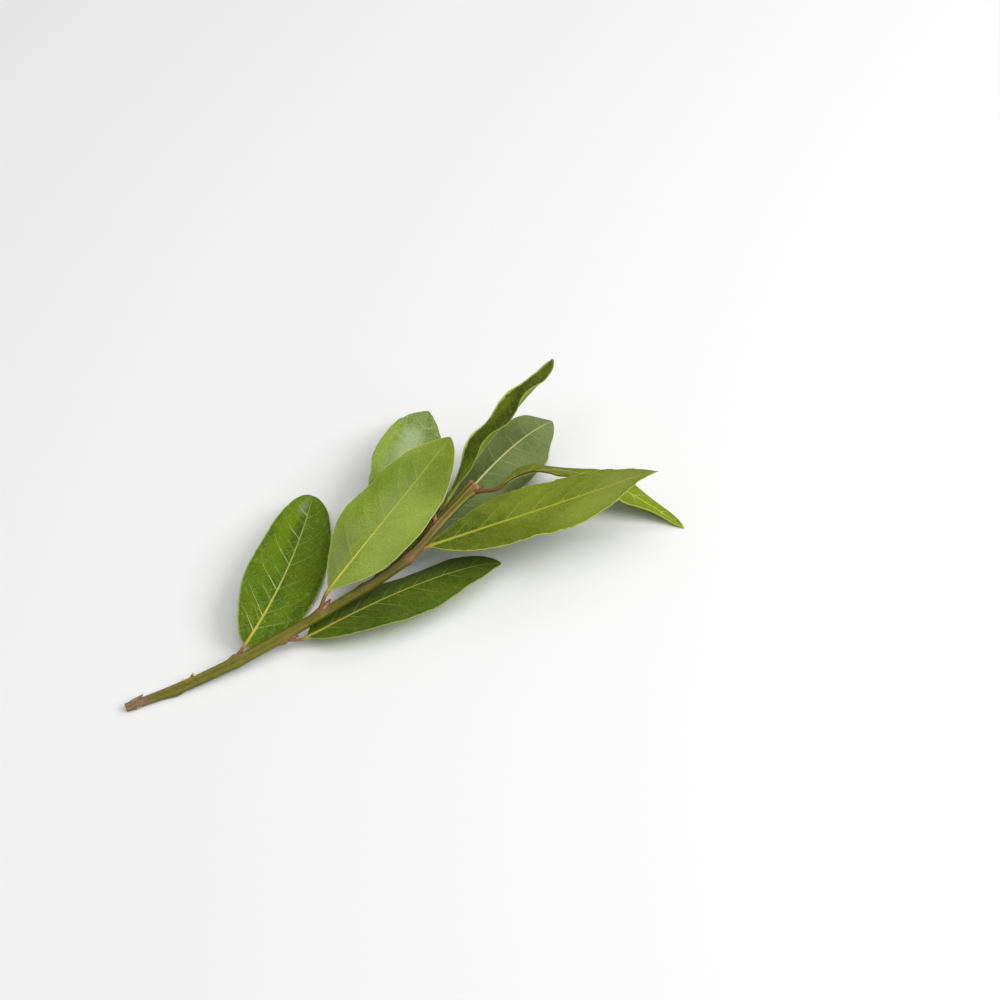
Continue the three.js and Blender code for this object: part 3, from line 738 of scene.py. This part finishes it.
def leaf_finish(name, look, seed):
    """Skin of one face of a leaf: two tones that drift into each other, veins, rim, stalk and patches."""
    material, b, shader = new_finish(name)
    veins = place_group(
        b, LEAF_VEINS, Side_Width=look["side_width"], Midrib_Width=look["midrib_width"],
        Net_Size=look["net_size"], Net_Width=0.1, Rim_Width=look["rim_width"])
    tone = place_group(b, LEAF_TONE, Drift_Size=look["drift_size"], Speck_Size=0.9, Seed=seed * 37.0)
    along, stalk = b.value_of("along_blade"), b.value_of("stalk")

    base = b.blend(tone["Drift"], look["deep"], look["light"])
    base = b.tint(base, tone["Clouds"], look["clouds"], look["cloud_colour"])
    base = b.tint(base, tone["Mottle"], look["mottle"], look["mottle_colour"])
    base = b.tint(base, tone["Flecks"], look["fleck"], look["fleck_colour"])
    for middle, side, long, wide, amount, patch_tone in look["patches"]:
        mask = place_group(b, LEAF_PATCH, Along=middle, Across=side, Long=long, Wide=wide)["Mask"]
        base = b.tint(base, mask, amount * PATCH_STRENGTH, patch_tone)
    base = b.tint(base, tone["Specks"], look["specks"], look["vein"])
    base = b.tint(base, veins["Fine Net"], look["fine_net"], look["vein"])
    base = b.tint(base, veins["Net"], look["net"], look["vein"])
    base = b.tint(base, veins["Rungs"], look["rungs"], look["vein"])
    base = b.tint(base, veins["Halo"], look["halo"], look["light"])
    base = b.tint(base, veins["Side Veins"], look["side"], look["vein"])
    rim_side = b.step(b.value_of("across_blade"), -0.5, 0.5, look["rim_right"], look["rim"])
    rim_tone = b.blend(b.step(along, 0.3, 0.5), look["rim_colour"], look.get("rim_tip", look["rim_colour"]))
    base = b.tint(base, veins["Rim"], rim_side, rim_tone)
    rib_tone = b.blend(b.step(along, 0.0, 1.0), look["midrib_foot"], look["midrib_tip"])
    rib_tone = b.blend(b.step(along, 0.09, -0.02), rib_tone, look["stalk_top"])
    base = b.tint(base, veins["Midrib"], b.step(along, 1.02, 0.8, 0.25, 1.0), rib_tone)
    stalk_tone = b.blend(b.step(stalk, 0.0, 0.45), look["stalk_top"], look["stalk_foot"])
    stalk_tone = b.tint(stalk_tone, tone["Mottle"], 0.35, look["stalk_dark"])
    base = b.blend(b.step(stalk, 0.0, 0.06), base, stalk_tone)

    rough = b.sum("MULTIPLY_ADD", tone["Dust"], look["rough_spread"], look["rough"])
    rough = b.sum("MULTIPLY_ADD", veins["Midrib"], 0.08, rough)
    rough = b.sum("MULTIPLY_ADD", veins["Net"], 0.05, rough, clamp=True)
    height = place_group(
        b, LEAF_RELIEF, Net=veins["Net"], Fine_Net=veins["Fine Net"], Rungs=veins["Rungs"],
        Side_Veins=veins["Side Veins"], Grain=look["grain"])["Height"]
    shader.inputs["Specular IOR Level"].default_value = look["specular"]
    dress(b, shader, base, rough, height, look["relief"])
    return material


# A leaf face's colours are screen colours, 0 to 255. Each of its patches has its middle along and across
# the blade, its reach along and across it, its amount and its colour. Patches of painted light, shade or
# sheen are marked where they stand.
UPPER_LOOK = dict(
    deep=(48, 76, 8), light=(86, 116, 8), clouds=0.6, cloud_colour=(118, 146, 12), mottle=0.5,
    mottle_colour=(104, 130, 14), fleck=0.6, fleck_colour=(46, 72, 8), specks=0.3, net=0.08, fine_net=0.08,
    rungs=0.12, halo=0.1, side=1.0, vein=(184, 194, 118), rim=0.8, rim_right=0.8, rim_colour=(140, 156, 44),
    midrib_foot=(190, 176, 58), midrib_tip=(144, 158, 62), stalk_top=(176, 160, 66),
    stalk_foot=(144, 102, 72), stalk_dark=(104, 70, 52), side_width=0.25, midrib_width=0.52, net_size=2.6,
    rim_width=0.3, drift_size=16.0, rough=0.4, rough_spread=0.12, specular=0.16, grain=0.05, relief=1.6,
    patches=[],
)
UNDER_LOOK = dict(
    UPPER_LOOK,
    deep=(118, 138, 38), light=(144, 166, 52), clouds=0.35, cloud_colour=(158, 178, 78), mottle=0.55,
    mottle_colour=(156, 176, 80), fleck=0.7, fleck_colour=(100, 120, 34), specks=0.14, fine_net=0.14,
    rungs=0.1, halo=0.12, side=0.3, vein=(170, 184, 92), rim=0.7, rim_right=0.7, rim_colour=(180, 190, 90),
    midrib_foot=(216, 206, 116), midrib_tip=(144, 154, 44), side_width=0.32, midrib_width=0.48,
    net_size=2.0, rough=0.55, specular=0.12, relief=1.3,
)

# What both faces of the youngest leaf have. Its dark brown rim is partly the leaf's own brown edge and
# partly painted shadow along it.
YOUNG_LOOK = dict(
    rim_colour=(84, 54, 28), rim_tip=(186, 196, 76), rim_width=0.45, rim=0.85, rim_right=0.85,
    midrib_width=0.66, stalk_top=(102, 88, 30), stalk_foot=(130, 90, 66), specular=0.04,
)

# What a face of a leaf has of its own. The other faces are as usual.
LEAF_LOOKS = {
    "leaf_1_upper": dict(
        deep=(52, 82, 2), light=(84, 114, 2), clouds=0.35, mottle=0.45, fleck=0.3, specks=0.05, net=0.0,
        fine_net=0.03, rungs=0.16, relief=2.4, vein=(206, 216, 140), midrib_width=0.62,
        midrib_foot=(196, 184, 74), midrib_tip=(176, 184, 108), specular=0.06, rim_width=0.42,
        rim_colour=(150, 174, 62),
        patches=[
            # The fourth patch is painted shade in the dip beside the midrib; the fifth is a painted highlight
            # near the tip.
            (0.42, 0.5, 0.5, 0.5, 0.4, (98, 128, 2)), (0.78, 0.55, 0.25, 0.45, 0.8, (112, 138, 6)),
            (0.6, -0.5, 0.4, 0.45, 0.95, (102, 128, 10)), (0.78, 0.16, 0.24, 0.18, 0.6, (60, 86, 12)),
            (0.93, 0.3, 0.09, 0.3, 0.5, (146, 164, 124)),
        ],
    ),
    "leaf_2_under": dict(
        midrib_foot=(204, 200, 88), midrib_tip=(164, 180, 60), rim=0.5, rim_right=0.85, rim_width=0.42,
        rim_colour=(204, 212, 124), side=0.4, rungs=0.16, mottle=0.65,
        patches=[
            (0.14, -0.7, 0.3, 0.6, 0.8, (116, 130, 74)), (0.5, -0.8, 0.34, 0.35, 0.8, (114, 140, 26)),
            (0.6, -0.12, 0.25, 0.3, 0.6, (138, 158, 90)), (0.42, 0.55, 0.34, 0.6, 0.5, (158, 180, 84)),
            (0.85, -0.3, 0.25, 0.6, 0.6, (110, 134, 26)), (0.86, 0.5, 0.26, 0.6, 0.8, (104, 126, 16)),
        ],
    ),
    "leaf_3_upper": dict(
        deep=(54, 76, 4), light=(74, 98, 6), clouds=0.3, cloud_colour=(90, 114, 12), mottle=0.4,
        mottle_colour=(84, 106, 10), fleck=0.4, rungs=0.1, side=0.85, specks=0.05, vein=(160, 174, 86),
        rim=0.9, midrib_width=0.6, rim_right=0.9, rim_colour=(150, 162, 84), midrib_foot=(180, 172, 76),
        midrib_tip=(158, 166, 84), specular=0.1,
    ),
    "leaf_4_under": dict(
        deep=(98, 112, 8), light=(118, 132, 22), clouds=0.3, cloud_colour=(128, 142, 36),
        mottle_colour=(128, 142, 44), side=0.6, midrib_width=0.66, midrib_foot=(168, 176, 58),
        midrib_tip=(160, 166, 70), rim=0.9, rim_right=0.75, rim_width=0.36, rim_colour=(184, 196, 96),
        specular=0.06,
        patches=[
            # The first patch is painted shadow over the foot of the blade.
            (0.08, 0.0, 0.3, 1.5, 1.1, (62, 78, 0)), (0.28, 0.6, 0.35, 0.6, 0.8, (86, 100, 2)),
            (0.95, 0.0, 0.3, 1.6, 0.75, (136, 148, 68)), (0.7, 0.65, 0.22, 0.55, 0.7, (142, 156, 60)),
        ],
    ),
    "leaf_5_upper": dict(
        YOUNG_LOOK,
        deep=(86, 98, 2), light=(114, 128, 6), clouds=0.3, mottle=0.3, mottle_colour=(128, 142, 14),
        rough=0.6, midrib_foot=(196, 188, 60), midrib_tip=(196, 196, 66),
        patches=[
            (0.85, 0.0, 0.3, 1.8, 0.9, (128, 148, 10)),
        ],
    ),
    "leaf_5_under": dict(
        YOUNG_LOOK,
        deep=(88, 100, 8), light=(116, 130, 18), clouds=0.3, cloud_colour=(128, 140, 30), mottle=0.3,
        patches=[
            (0.85, 0.0, 0.3, 1.8, 0.9, (134, 152, 20)),
        ],
    ),
    "leaf_6_under": dict(
        deep=(90, 104, 44), light=(112, 126, 62), clouds=0.3, cloud_colour=(126, 140, 84),
        mottle_colour=(122, 136, 80), fleck_colour=(80, 94, 42), midrib_foot=(232, 226, 158),
        midrib_tip=(164, 172, 104), midrib_width=0.56, vein=(150, 164, 108), side=0.85,
        patches=[
            # This patch is painted light: a paler wash over a part of the blade that lies in shadow.
            (0.3, 0.6, 0.35, 0.5, 0.4, (134, 152, 98)),
        ],
    ),
    "leaf_7_upper": dict(
        deep=(56, 68, 0), light=(76, 88, 4), clouds=0.4, cloud_colour=(96, 108, 14), mottle=0.3,
        mottle_colour=(88, 102, 8), fleck=0.25, specks=0.06, net=0.04, fine_net=0.04, rim=1.0,
        rim_right=0.2, rim_width=1.5, rough=0.65, rim_colour=(186, 198, 100), side=0.3, rungs=0.1,
        specular=0.05,
        patches=[
            (0.95, 0.0, 0.16, 1.8, 0.8, (108, 124, 18)), (0.12, 0.0, 0.22, 1.8, 0.9, (116, 134, 30)),
            (0.6, 0.7, 0.14, 0.35, 0.8, (116, 132, 28)),
        ],
    ),
    "leaf_7_under": dict(
        rim=1.0, rim_right=0.2,
    ),
    "leaf_8_upper": dict(
        # Its strong pale rungs are veinlets, painted paler to stand in for sheen on their ripples as well.
        deep=(96, 126, 2), light=(126, 156, 2), clouds=0.4, rungs=0.42, vein=(186, 202, 140), halo=0.2,
        rough=0.32, rough_spread=0.2, specular=0.3, relief=2.6,
        patches=[
            # The second and third patches are painted sheen: a silvery pale wash over the middle of the
            # blade.
            (0.5, 0.9, 0.5, 0.4, 0.9, (138, 166, 4)), (0.52, 0.5, 0.25, 0.4, 0.7, (146, 168, 88)),
            (0.7, 0.12, 0.33, 0.6, 1.0, (166, 184, 134)), (0.93, 0.25, 0.15, 0.9, 1.0, (100, 128, 28)),
            (0.85, -0.35, 0.3, 0.35, 1.0, (92, 118, 26)),
        ],
    ),
}


def bark_finish():
    """Olive bark with long paler bands, a brown foot and a pink flush at each node."""
    material, b, shader = new_finish("bay_bark")
    age = b.value_of("age")
    bark = place_group(b, BARK, Streak_Width=0.5, Roughening=age)
    base = b.blend(bark["Bands"], (90, 92, 12), (121, 122, 20))
    base = b.tint(base, bark["Streaks"], 0.35, (136, 124, 40))
    base = b.tint(base, bark["Blotches"], 0.3, (84, 78, 22))
    # Pale on the flute ridges is painted highlight; dark in the flute grooves is painted shade.
    base = b.tint(base, b.value_of("ridge"), 0.5, (154, 154, 74))
    base = b.tint(base, b.value_of("groove_shade"), 0.6, (80, 78, 18))
    base = b.tint(base, bark["Specks"], 0.6, (76, 54, 22))
    base = b.blend(b.step(age, 0.0, 1.0), base, b.blend(bark["Streaks"], (122, 96, 66), (152, 128, 96)))
    blush = b.times(b.value_of("flush"), b.step(bark["Streaks"], 0.0, 1.0, 0.5, 1.0), clamp=True)
    base = b.tint(base, blush, 0.85, (156, 106, 80))
    base = b.tint(base, bark["Flecks"], 0.35, (176, 156, 104))
    base = b.blend(b.value_of("scar"), base, (206, 164, 118))
    rough = b.sum("MULTIPLY_ADD", bark["Streaks"], 0.14, 0.46)
    shader.inputs["Specular IOR Level"].default_value = 0.28
    dress(b, shader, base, b.sum("MULTIPLY_ADD", age, 0.2, rough), bark["Height"], 0.8)
    return material


def cut_wood_finish():
    """Cut ends: pale wood with faint rings round a darker pith, browned at the rind."""
    material, b, shader = new_finish("cut_wood")
    bark = place_group(b, BARK, Streak_Width=0.3, Roughening=1.0)
    out = b.value_of("cut_reach")
    rings = b.sum("SINE", b.times(out, 26.0))
    base = b.blend(b.step(rings, -1.0, 1.0, 0.0, 0.4), (196, 176, 128), (168, 140, 96))
    base = b.blend(b.step(out, 0.3, 0.12), base, (150, 120, 84))
    base = b.blend(b.step(out, 0.72, 0.98), base, (142, 108, 80))
    base = b.tint(base, bark["Blotches"], 0.5, (150, 122, 92))
    dress(b, shader, base, b.step(bark["Streaks"], 0.0, 1.0, 0.7, 0.9), bark["Height"], 1.0)
    return material


def scale_finish(name, dark, pale, streak, tip_colour):
    """Dry scales of a bud or an old scar: streaked, darker at the tip and pale where torn."""
    material, b, shader = new_finish(name)
    bark = place_group(b, BARK, Streak_Width=0.4, Roughening=0.6)
    base = b.blend(bark["Bands"], dark, pale)
    base = b.tint(base, bark["Streaks"], 0.3, streak)
    base = b.blend(b.step(b.value_of("toward_tip"), 0.55, 1.0), base, tip_colour)
    base = b.blend(b.value_of("scar"), base, (236, 206, 150))
    dress(b, shader, base, b.step(bark["Streaks"], 0.0, 1.0, 0.45, 0.65), bark["Height"], 0.8)
    return material


# ---- Pieces ------------------------------------------------------------------------------------------

def build_leaf(number, name, leaf):
    rings, values, maps, columns = blade_points(leaf, SEEDS["leaf"] + number)
    size = rings.shape[1]
    points = rings.reshape(-1, 3)
    points[:, 2] = np.maximum(points[:, 2], TABLE_SKIN)
    is_under = (np.arange(size) >= columns - 1).astype(np.int32)
    face_material = np.tile(is_under, len(rings) - 1).tolist() + [0, 0]
    materials = [
        leaf_finish(f"{name}_{face}", dict(usual, **LEAF_LOOKS.get(f"{name}_{face}", {})), seed)
        for face, usual, seed in (("upper", UPPER_LOOK, number), ("under", UNDER_LOOK, number + 20))
    ]
    return make_piece(
        name + "_blade", points, closed_faces(len(rings), size), materials, face_material, values,
        maps={key: value.reshape(-1, 2) for key, value in maps.items()})


def angle_gap(a, b):
    return (a - b + 180) % 360 - 180


def build_stem(bark, wood):
    rng = np.random.default_rng(SEEDS["stem"])
    d = np.linspace(0, STEM_LENGTH, STEM_RINGS)[:, None]
    theta = np.linspace(0, 360, STEM_SIDES, endpoint=False)[None]
    centre, forward, left, up = stem_at(d[:, 0])
    radius = stem_radius(d[:, 0])[:, None] + np.zeros_like(theta)
    flush = np.zeros_like(radius)

    # Low ridges wander round the stem, and flutes form towards its tip.
    turned = 14 * smooth_noise(rng, d, 30, STEM_LENGTH)
    for ridges, height in BARK_WAVES:
        drift = 40 * smooth_noise(rng, d, 45, STEM_LENGTH)
        height = height * (1 + 0.9 * ease(d, 115, 145))
        radius = radius + height * np.cos(np.radians(ridges * (theta + turned) + drift))
    fluting = np.cos(
        np.radians(FLUTING["ridges"] * (theta + turned)) + 0.5 * smooth_noise(rng, d, 12, STEM_LENGTH))
    fluted = ease(d, FLUTING["start"], FLUTING["full"])
    radius = radius + FLUTING["height"] * fluted * fluting
    # These masks carry painted highlight on the flute ridges and painted shade in the flute grooves.
    ridge, groove_shade = fluted * ease(fluting, 0.35, 0.95), fluted * ease(-fluting, 0.0, 0.8)

    # Each leaf foot swells, with a pink flush round it and two ridges that run back from it.
    for leaf in LEAVES.values():
        gap = angle_gap(theta, stalk_root(leaf)[-1])
        past = d - leaf["node"]
        swelling = LEAF_FOOT["height"] * bell(past, LEAF_FOOT["length"]) * bell(gap, LEAF_FOOT["spread"])
        radius = radius + swelling
        below = ease(-past, 0, 3) * np.exp(-np.maximum(-past, 0) / FOOT_RIDGE["fade"])
        for side in (-1, 1):
            aside = gap - side * FOOT_RIDGE["aside"]
            radius = radius + FOOT_RIDGE["height"] * below * bell(aside, FOOT_RIDGE["spread"])
        reach = leaf["flush"] * np.where(past < 0, BLUSH["before"], BLUSH["past"])
        flush = np.maximum(flush, bell(past - 0.5, reach) * bell(gap, BLUSH["spread"] * leaf["flush"]))
    flush = flush * (1 - 0.55 * ease(d, 130, 145))
    flush = np.maximum(flush, 0.8 * ease(d, STEM_LENGTH - 2.6, STEM_LENGTH - 0.6))

    for _ in range(BARK_WARTS):
        place, around = rng.uniform(3, STEM_LENGTH - 3), rng.uniform(0, 360)
        long, wide, high = rng.uniform(0.35, 0.8), rng.uniform(4, 7), rng.uniform(0.03, 0.07)
        radius = radius + high * bell(d - place, long) * bell(angle_gap(theta, around), wide)

    # age: how brown and cracked the bark is, most at its foot. scar: where it is torn.
    age = 0.8 * (1 - ease(d, 4, 12)) + 0.2 * (1 - ease(d, 10, 42)) + np.zeros_like(radius)
    scar = 0.35 * ease(d, STEM_LENGTH - 0.7, STEM_LENGTH - 0.1) + np.zeros_like(radius)
    for mark in STEM_MARKS:
        bump = bell(d - mark["along"], mark["radius"] * 1.6) * bell(angle_gap(theta, mark["around"]), 26)
        radius = radius + mark["swell"] * bump
        scar = np.maximum(scar, 0.8 * mark["scar"] * bump)

    # Fine wrinkles, deeper in old bark.
    wrinkle = rng.normal(0, 1, radius.shape)
    for _ in range(2):
        wrinkle = (wrinkle + np.roll(wrinkle, 1, 0) + np.roll(wrinkle, -1, 0) + np.roll(wrinkle, 1, 1)) / 4
    radius = radius + (0.012 + 0.05 * age) * wrinkle

    angle = np.radians(theta)
    outward = up[:, None] * np.cos(angle)[..., None] + left[:, None] * np.sin(angle)[..., None]

    # The bark of the pruned tip runs out in ragged teeth.
    teeth = PRUNED_TIP["tooth"] * np.abs(np.sin(np.radians(2.5 * theta[0] + 20)))
    teeth = teeth + 0.14 * rng.uniform(-1, 1, STEM_SIDES)
    points = centre[:, None] + outward * radius[..., None]
    torn = ease(d[:, 0], STEM_LENGTH - 0.9, STEM_LENGTH)[:, None]
    points = points + forward[:, None] * (torn * teeth[None])[..., None]
    points[..., 2] = np.maximum(points[..., 2], 0.0)
    bark_place = np.stack([
        d + np.zeros_like(radius), radius * np.cos(angle), radius * np.sin(angle)], -1)

    def cap(end, parts, depths, ragged):
        """Rings from the rind to the middle of a cut end."""
        made, places, reach = [], [], []
        for part, depth in zip(parts, depths):
            shift = depth + ragged * rng.uniform(-1, 1, STEM_SIDES)
            rim = centre[end] + (points[end] - centre[end]) * part
            rim = rim - forward[end] * np.dot(points[end] - centre[end], forward[end])[:, None] * part
            made.append(rim + forward[end] * shift[:, None])
            places.append(np.stack([
                np.full(STEM_SIDES, d[end, 0]) + shift, radius[end] * part * np.cos(angle[0]),
                radius[end] * part * np.sin(angle[0])], -1))
            reach.append(np.full(STEM_SIDES, part))
        return np.array(made), np.array(places), np.array(reach)

    foot, foot_place, foot_reach = cap(0, *CUT_FOOT, 0.025)
    tip_parts, tip_depths = CUT_TIP
    tip, tip_place, tip_reach = cap(-1, tip_parts, [0.5 * float(np.mean(teeth)), *tip_depths], 0.07)
    foot[..., 2] = np.maximum(foot[..., 2], 0.0)
    rings = np.concatenate([foot[::-1], points, tip])
    row_material = np.zeros(len(rings) - 1, int)
    row_material[:len(foot)] = 1
    row_material[-len(tip):] = 1
    face_material = np.repeat(row_material, STEM_SIDES).tolist() + [1, 1]

    def whole(main, at_foot=0.0, at_tip=0.0):
        return np.concatenate([np.full(foot_reach.shape, at_foot), main, np.full(tip_reach.shape, at_tip)])

    reach = np.concatenate([foot_reach[::-1], np.ones_like(radius), tip_reach])
    place = np.concatenate([foot_place[::-1], bark_place, tip_place])
    values = dict(
        flush=whole(flush), age=whole(age, 1, 0.2), scar=whole(scar), ridge=whole(ridge),
        groove_shade=whole(groove_shade), cut_reach=reach)
    return make_piece(
        "stem_bark", rings.reshape(-1, 3), closed_faces(len(rings), STEM_SIDES), [bark, wood], face_material,
        values, {"bark_place": place})


class Heap:
    """Gathers small bodies into the points and faces of one piece."""

    def __init__(self):
        self.points, self.faces, self.places, self.scar, self.tip = [], [], [], [], []
        self.count = 0

    def add_rings(self, rings, places, scar, tip):
        self.faces += closed_faces(*rings.shape[:2], self.count)
        self.points.append(rings.reshape(-1, 3))
        self.places.append(places.reshape(-1, 3))
        self.scar.append(np.broadcast_to(scar, rings.shape[:2]).ravel())
        self.tip.append(np.broadcast_to(tip, rings.shape[:2]).ravel())
        self.count += rings.shape[0] * rings.shape[1]

    def build(self, name, material):
        points = np.concatenate(self.points)
        points[:, 2] = np.maximum(points[:, 2], TABLE_SKIN)
        return make_piece(
            name, points, self.faces, [material],
            values={"scar": np.concatenate(self.scar), "toward_tip": np.concatenate(self.tip)},
            vectors={"bark_place": np.concatenate(self.places)})


def axes_of(direction):
    direction = unit(direction)
    side = unit(np.cross(direction, UP if abs(direction[2]) < 0.9 else np.array([1.0, 0, 0])))
    return direction, side, np.cross(direction, side)


def add_drawn_body(heap, root, direction, radius, length, rng, scar=0.0, hollow=False):
    """A rounded body with a drawn out far end, a little ridged; a hollow one ends in a dished scar."""
    direction, side, other = axes_of(direction)
    rows, sides = 22, 28
    h = np.linspace(0, 1, rows)[:, None]
    a = np.linspace(0, 2 * math.pi, sides, endpoint=False)[None]
    if hollow:
        profile = np.interp(h, [0, 0.45, 0.7, 0.8, 0.88, 1], [1, 0.98, 0.9, 0.8, 0.6, 0.02])
        height = np.interp(h, [0, 0.45, 0.7, 0.8, 0.88, 1], [-0.4, 0.5, 0.95, 1, 0.82, 0.72])
    else:
        profile = np.sqrt(np.clip(1 - h**2.2, 0, 1)) * (1 - 0.45 * ease(h)) + 0.012
        height = h * 1.3 - 0.3
    ridges = 1 + 0.07 * np.cos(5 * a + 3 * h) + 0.05 * np.cos(9 * a - 2 * h)
    ridges = ridges + 0.03 * rng.normal(0, 1, (rows, sides))
    across = radius * profile * ridges
    rings = (
        root + direction * (height * length)[..., None]
        + side * (across * np.cos(a))[..., None] + other * (across * np.sin(a))[..., None])
    places = np.stack([
        height * length + 40 * rng.uniform() + 0 * a, across * np.cos(a), across * np.sin(a)], -1)
    scar = scar * (ease(h, 0.3, 0.6) if hollow else 1 - ease(h, 0.8, 1))
    heap.add_rings(rings, places, scar, h)


def add_bud_scale(heap, root, direction, start, radius, length, lift, rng):
    """One pointed scale wrapped part of the way round a bud."""
    direction, side, other = axes_of(direction)
    rows, columns = 14, 9
    h = np.linspace(0, 1, rows)[:, None]
    j = np.linspace(-1, 1, columns)[None]
    wrap = math.radians(84) * np.clip(1 - h**1.8, 0.0, 1) ** 0.75 + 0.02
    girth = np.interp(h, [0, 0.2, 0.5, 0.8, 1], [0.72, 1, 0.94, 0.6, 0.3]) * radius + lift
    girth = girth + 0.16 * radius * ease(h, 0.8, 1)
    edge = 0.07 * (1 - np.abs(j) ** 3)

    def sheet(inset):
        a = start + wrap * j
        r = girth + edge - inset
        rise = length * (h - 0.06 * j**2)
        flat = np.stack([rise + 0 * a, r * np.cos(a), r * np.sin(a)], -1)
        return (root + direction * flat[..., :1] + side * flat[..., 1:2] + other * flat[..., 2:]), flat

    outer, outer_place = sheet(0.0)
    inner, inner_place = sheet(0.12)
    rings = np.concatenate([outer, inner[:, ::-1]], axis=1)
    places = np.concatenate([outer_place, inner_place[:, ::-1]], axis=1)
    places = places + np.array([60 * rng.uniform(), 0, 0])
    heap.add_rings(rings, places, 0.0, h)


def add_bud(heap, root, direction, size, rng):
    """A bud with four scales wrapped round it, each a little further out than the last."""
    radius, length = BUD["radius"] * size, BUD["length"] * size
    add_drawn_body(heap, root, direction, radius * 0.8, length * 0.92, rng)
    for k, (reach, lift) in enumerate(BUD_SCALES):
        start = k * math.pi / 2 * 1.06 + (k % 2) * 0.5
        add_bud_scale(heap, root, direction, start, radius * 0.86, length * reach, lift, rng)


def build_buds(material):
    heap = Heap()
    rng = np.random.default_rng(SEEDS["buds"])
    for bud in LONE_BUDS:
        centre, forward, left, up = stem_at(bud["along"])
        outward = stem_outward(left, up, bud["around"])
        root = centre + outward * (stem_radius(bud["along"]) - BUD["sunk"])
        add_bud(heap, root, unit(outward + BUD["lean"] * forward), bud["size"], rng)
    for leaf in LEAVES.values():
        centre, outward, forward, _, _ = stalk_root(leaf)
        lean = unit(outward + BUD["lean"] * forward)
        root = centre + lean * (stem_radius(leaf["node"]) - BUD["sunk"])
        add_bud(heap, root, lean, leaf["bud"], rng)
    return heap.build("axil_buds", material)


def build_marks(material):
    heap = Heap()
    rng = np.random.default_rng(SEEDS["marks"])
    for mark in STEM_MARKS:
        if mark["length"] == 0:
            continue
        centre, forward, left, up = stem_at(mark["along"])
        outward = stem_outward(left, up, mark["around"])
        lean = math.radians(mark["lean"])
        direction = outward * math.cos(lean) + forward * math.sin(lean)
        root = centre + outward * (stem_radius(mark["along"]) - MARK_SUNK)
        add_drawn_body(
            heap, root, direction, mark["radius"], mark["length"], rng, scar=mark["scar"],
            hollow=mark["name"] == "raised_scar")
    return heap.build("stem_scars", material)


# ---- Table, light and camera -------------------------------------------------------------------------

TABLE_HALF = 6.0  # metres
LOOK_AT = Vector((0.05395, -0.01012, 0.012))
CAMERA_PLACE = Vector((-0.29552, -0.51759, 0.69631))
LENS = 85.0
SENSOR = 36.0

SOFT_BOXES = [
    dict(name="key_light", place=(0.8, -0.8, 1.0), size=0.9, watts=12.0),
    dict(name="sheen_light", place=(1.35, 0.19, 0.9), size=0.6, watts=4.0),
    dict(name="over_light", place=(-0.15, -0.15, 1.6), size=1.5, watts=12.0),
]
LIT_PLACE = Vector((0.02, 0, 0))
SKY = 0.28


def build_table():
    material, _, shader = new_finish("pale_table")
    shader.inputs["Base Color"].default_value = (0.9, 0.9, 0.9, 1)
    shader.inputs["Roughness"].default_value = 0.75
    shader.inputs["Specular IOR Level"].default_value = 0.2
    mesh = bpy.data.meshes.new("table_top")
    corners = [(-TABLE_HALF, -TABLE_HALF, 0), (TABLE_HALF, -TABLE_HALF, 0)]
    corners += [(TABLE_HALF, TABLE_HALF, 0), (-TABLE_HALF, TABLE_HALF, 0)]
    mesh.from_pydata(corners, [], [(0, 1, 2, 3)])
    mesh.materials.append(material)
    table = add_object("table_top", mesh)


def build_lights():
    for box in SOFT_BOXES:
        light = bpy.data.lights.new(box["name"], "AREA")
        light.shape = "SQUARE"
        light.size = box["size"]
        light.energy = box["watts"]
        lamp = add_object(box["name"], light)
        lamp.location = box["place"]
        lamp.rotation_euler = (LIT_PLACE - lamp.location).to_track_quat("-Z", "Y").to_euler()
    world = bpy.data.worlds.new("studio")
    world.use_nodes = True
    background = next(n for n in world.node_tree.nodes if n.type == "BACKGROUND")
    background.inputs["Color"].default_value = (1, 1, 1, 1)
    background.inputs["Strength"].default_value = SKY
    bpy.context.scene.world = world


def build_camera():
    camera = bpy.data.cameras.new("camera")
    camera.lens = LENS
    camera.sensor_width = SENSOR
    camera.clip_start = 0.01
    holder = add_object("camera", camera)
    holder.location = CAMERA_PLACE
    holder.rotation_euler = (LOOK_AT - CAMERA_PLACE).to_track_quat("-Z", "Y").to_euler()
    bpy.context.scene.camera = holder


# ---- The branch --------------------------------------------------------------------------------------

bark_material = bark_finish()
wood_material = cut_wood_finish()
bud_material = scale_finish(
    "bud_scales", (142, 94, 68), (190, 140, 108), (116, 76, 60), (102, 60, 48))
scar_material = scale_finish(
    "old_scars", (126, 100, 66), (154, 128, 92), (98, 76, 44), (84, 62, 38))

stem = build_stem(bark_material, wood_material)
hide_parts("stem")
for piece in (stem, build_buds(bud_material), build_marks(scar_material)):
    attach(piece, "root")

for number, (name, leaf) in enumerate(LEAVES.items(), 1):
    blade = build_leaf(number, name, leaf)
    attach(blade, "root")
    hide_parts(name)

build_table()
build_lights()
build_camera()
bpy.context.scene.view_settings.view_transform = "Standard"
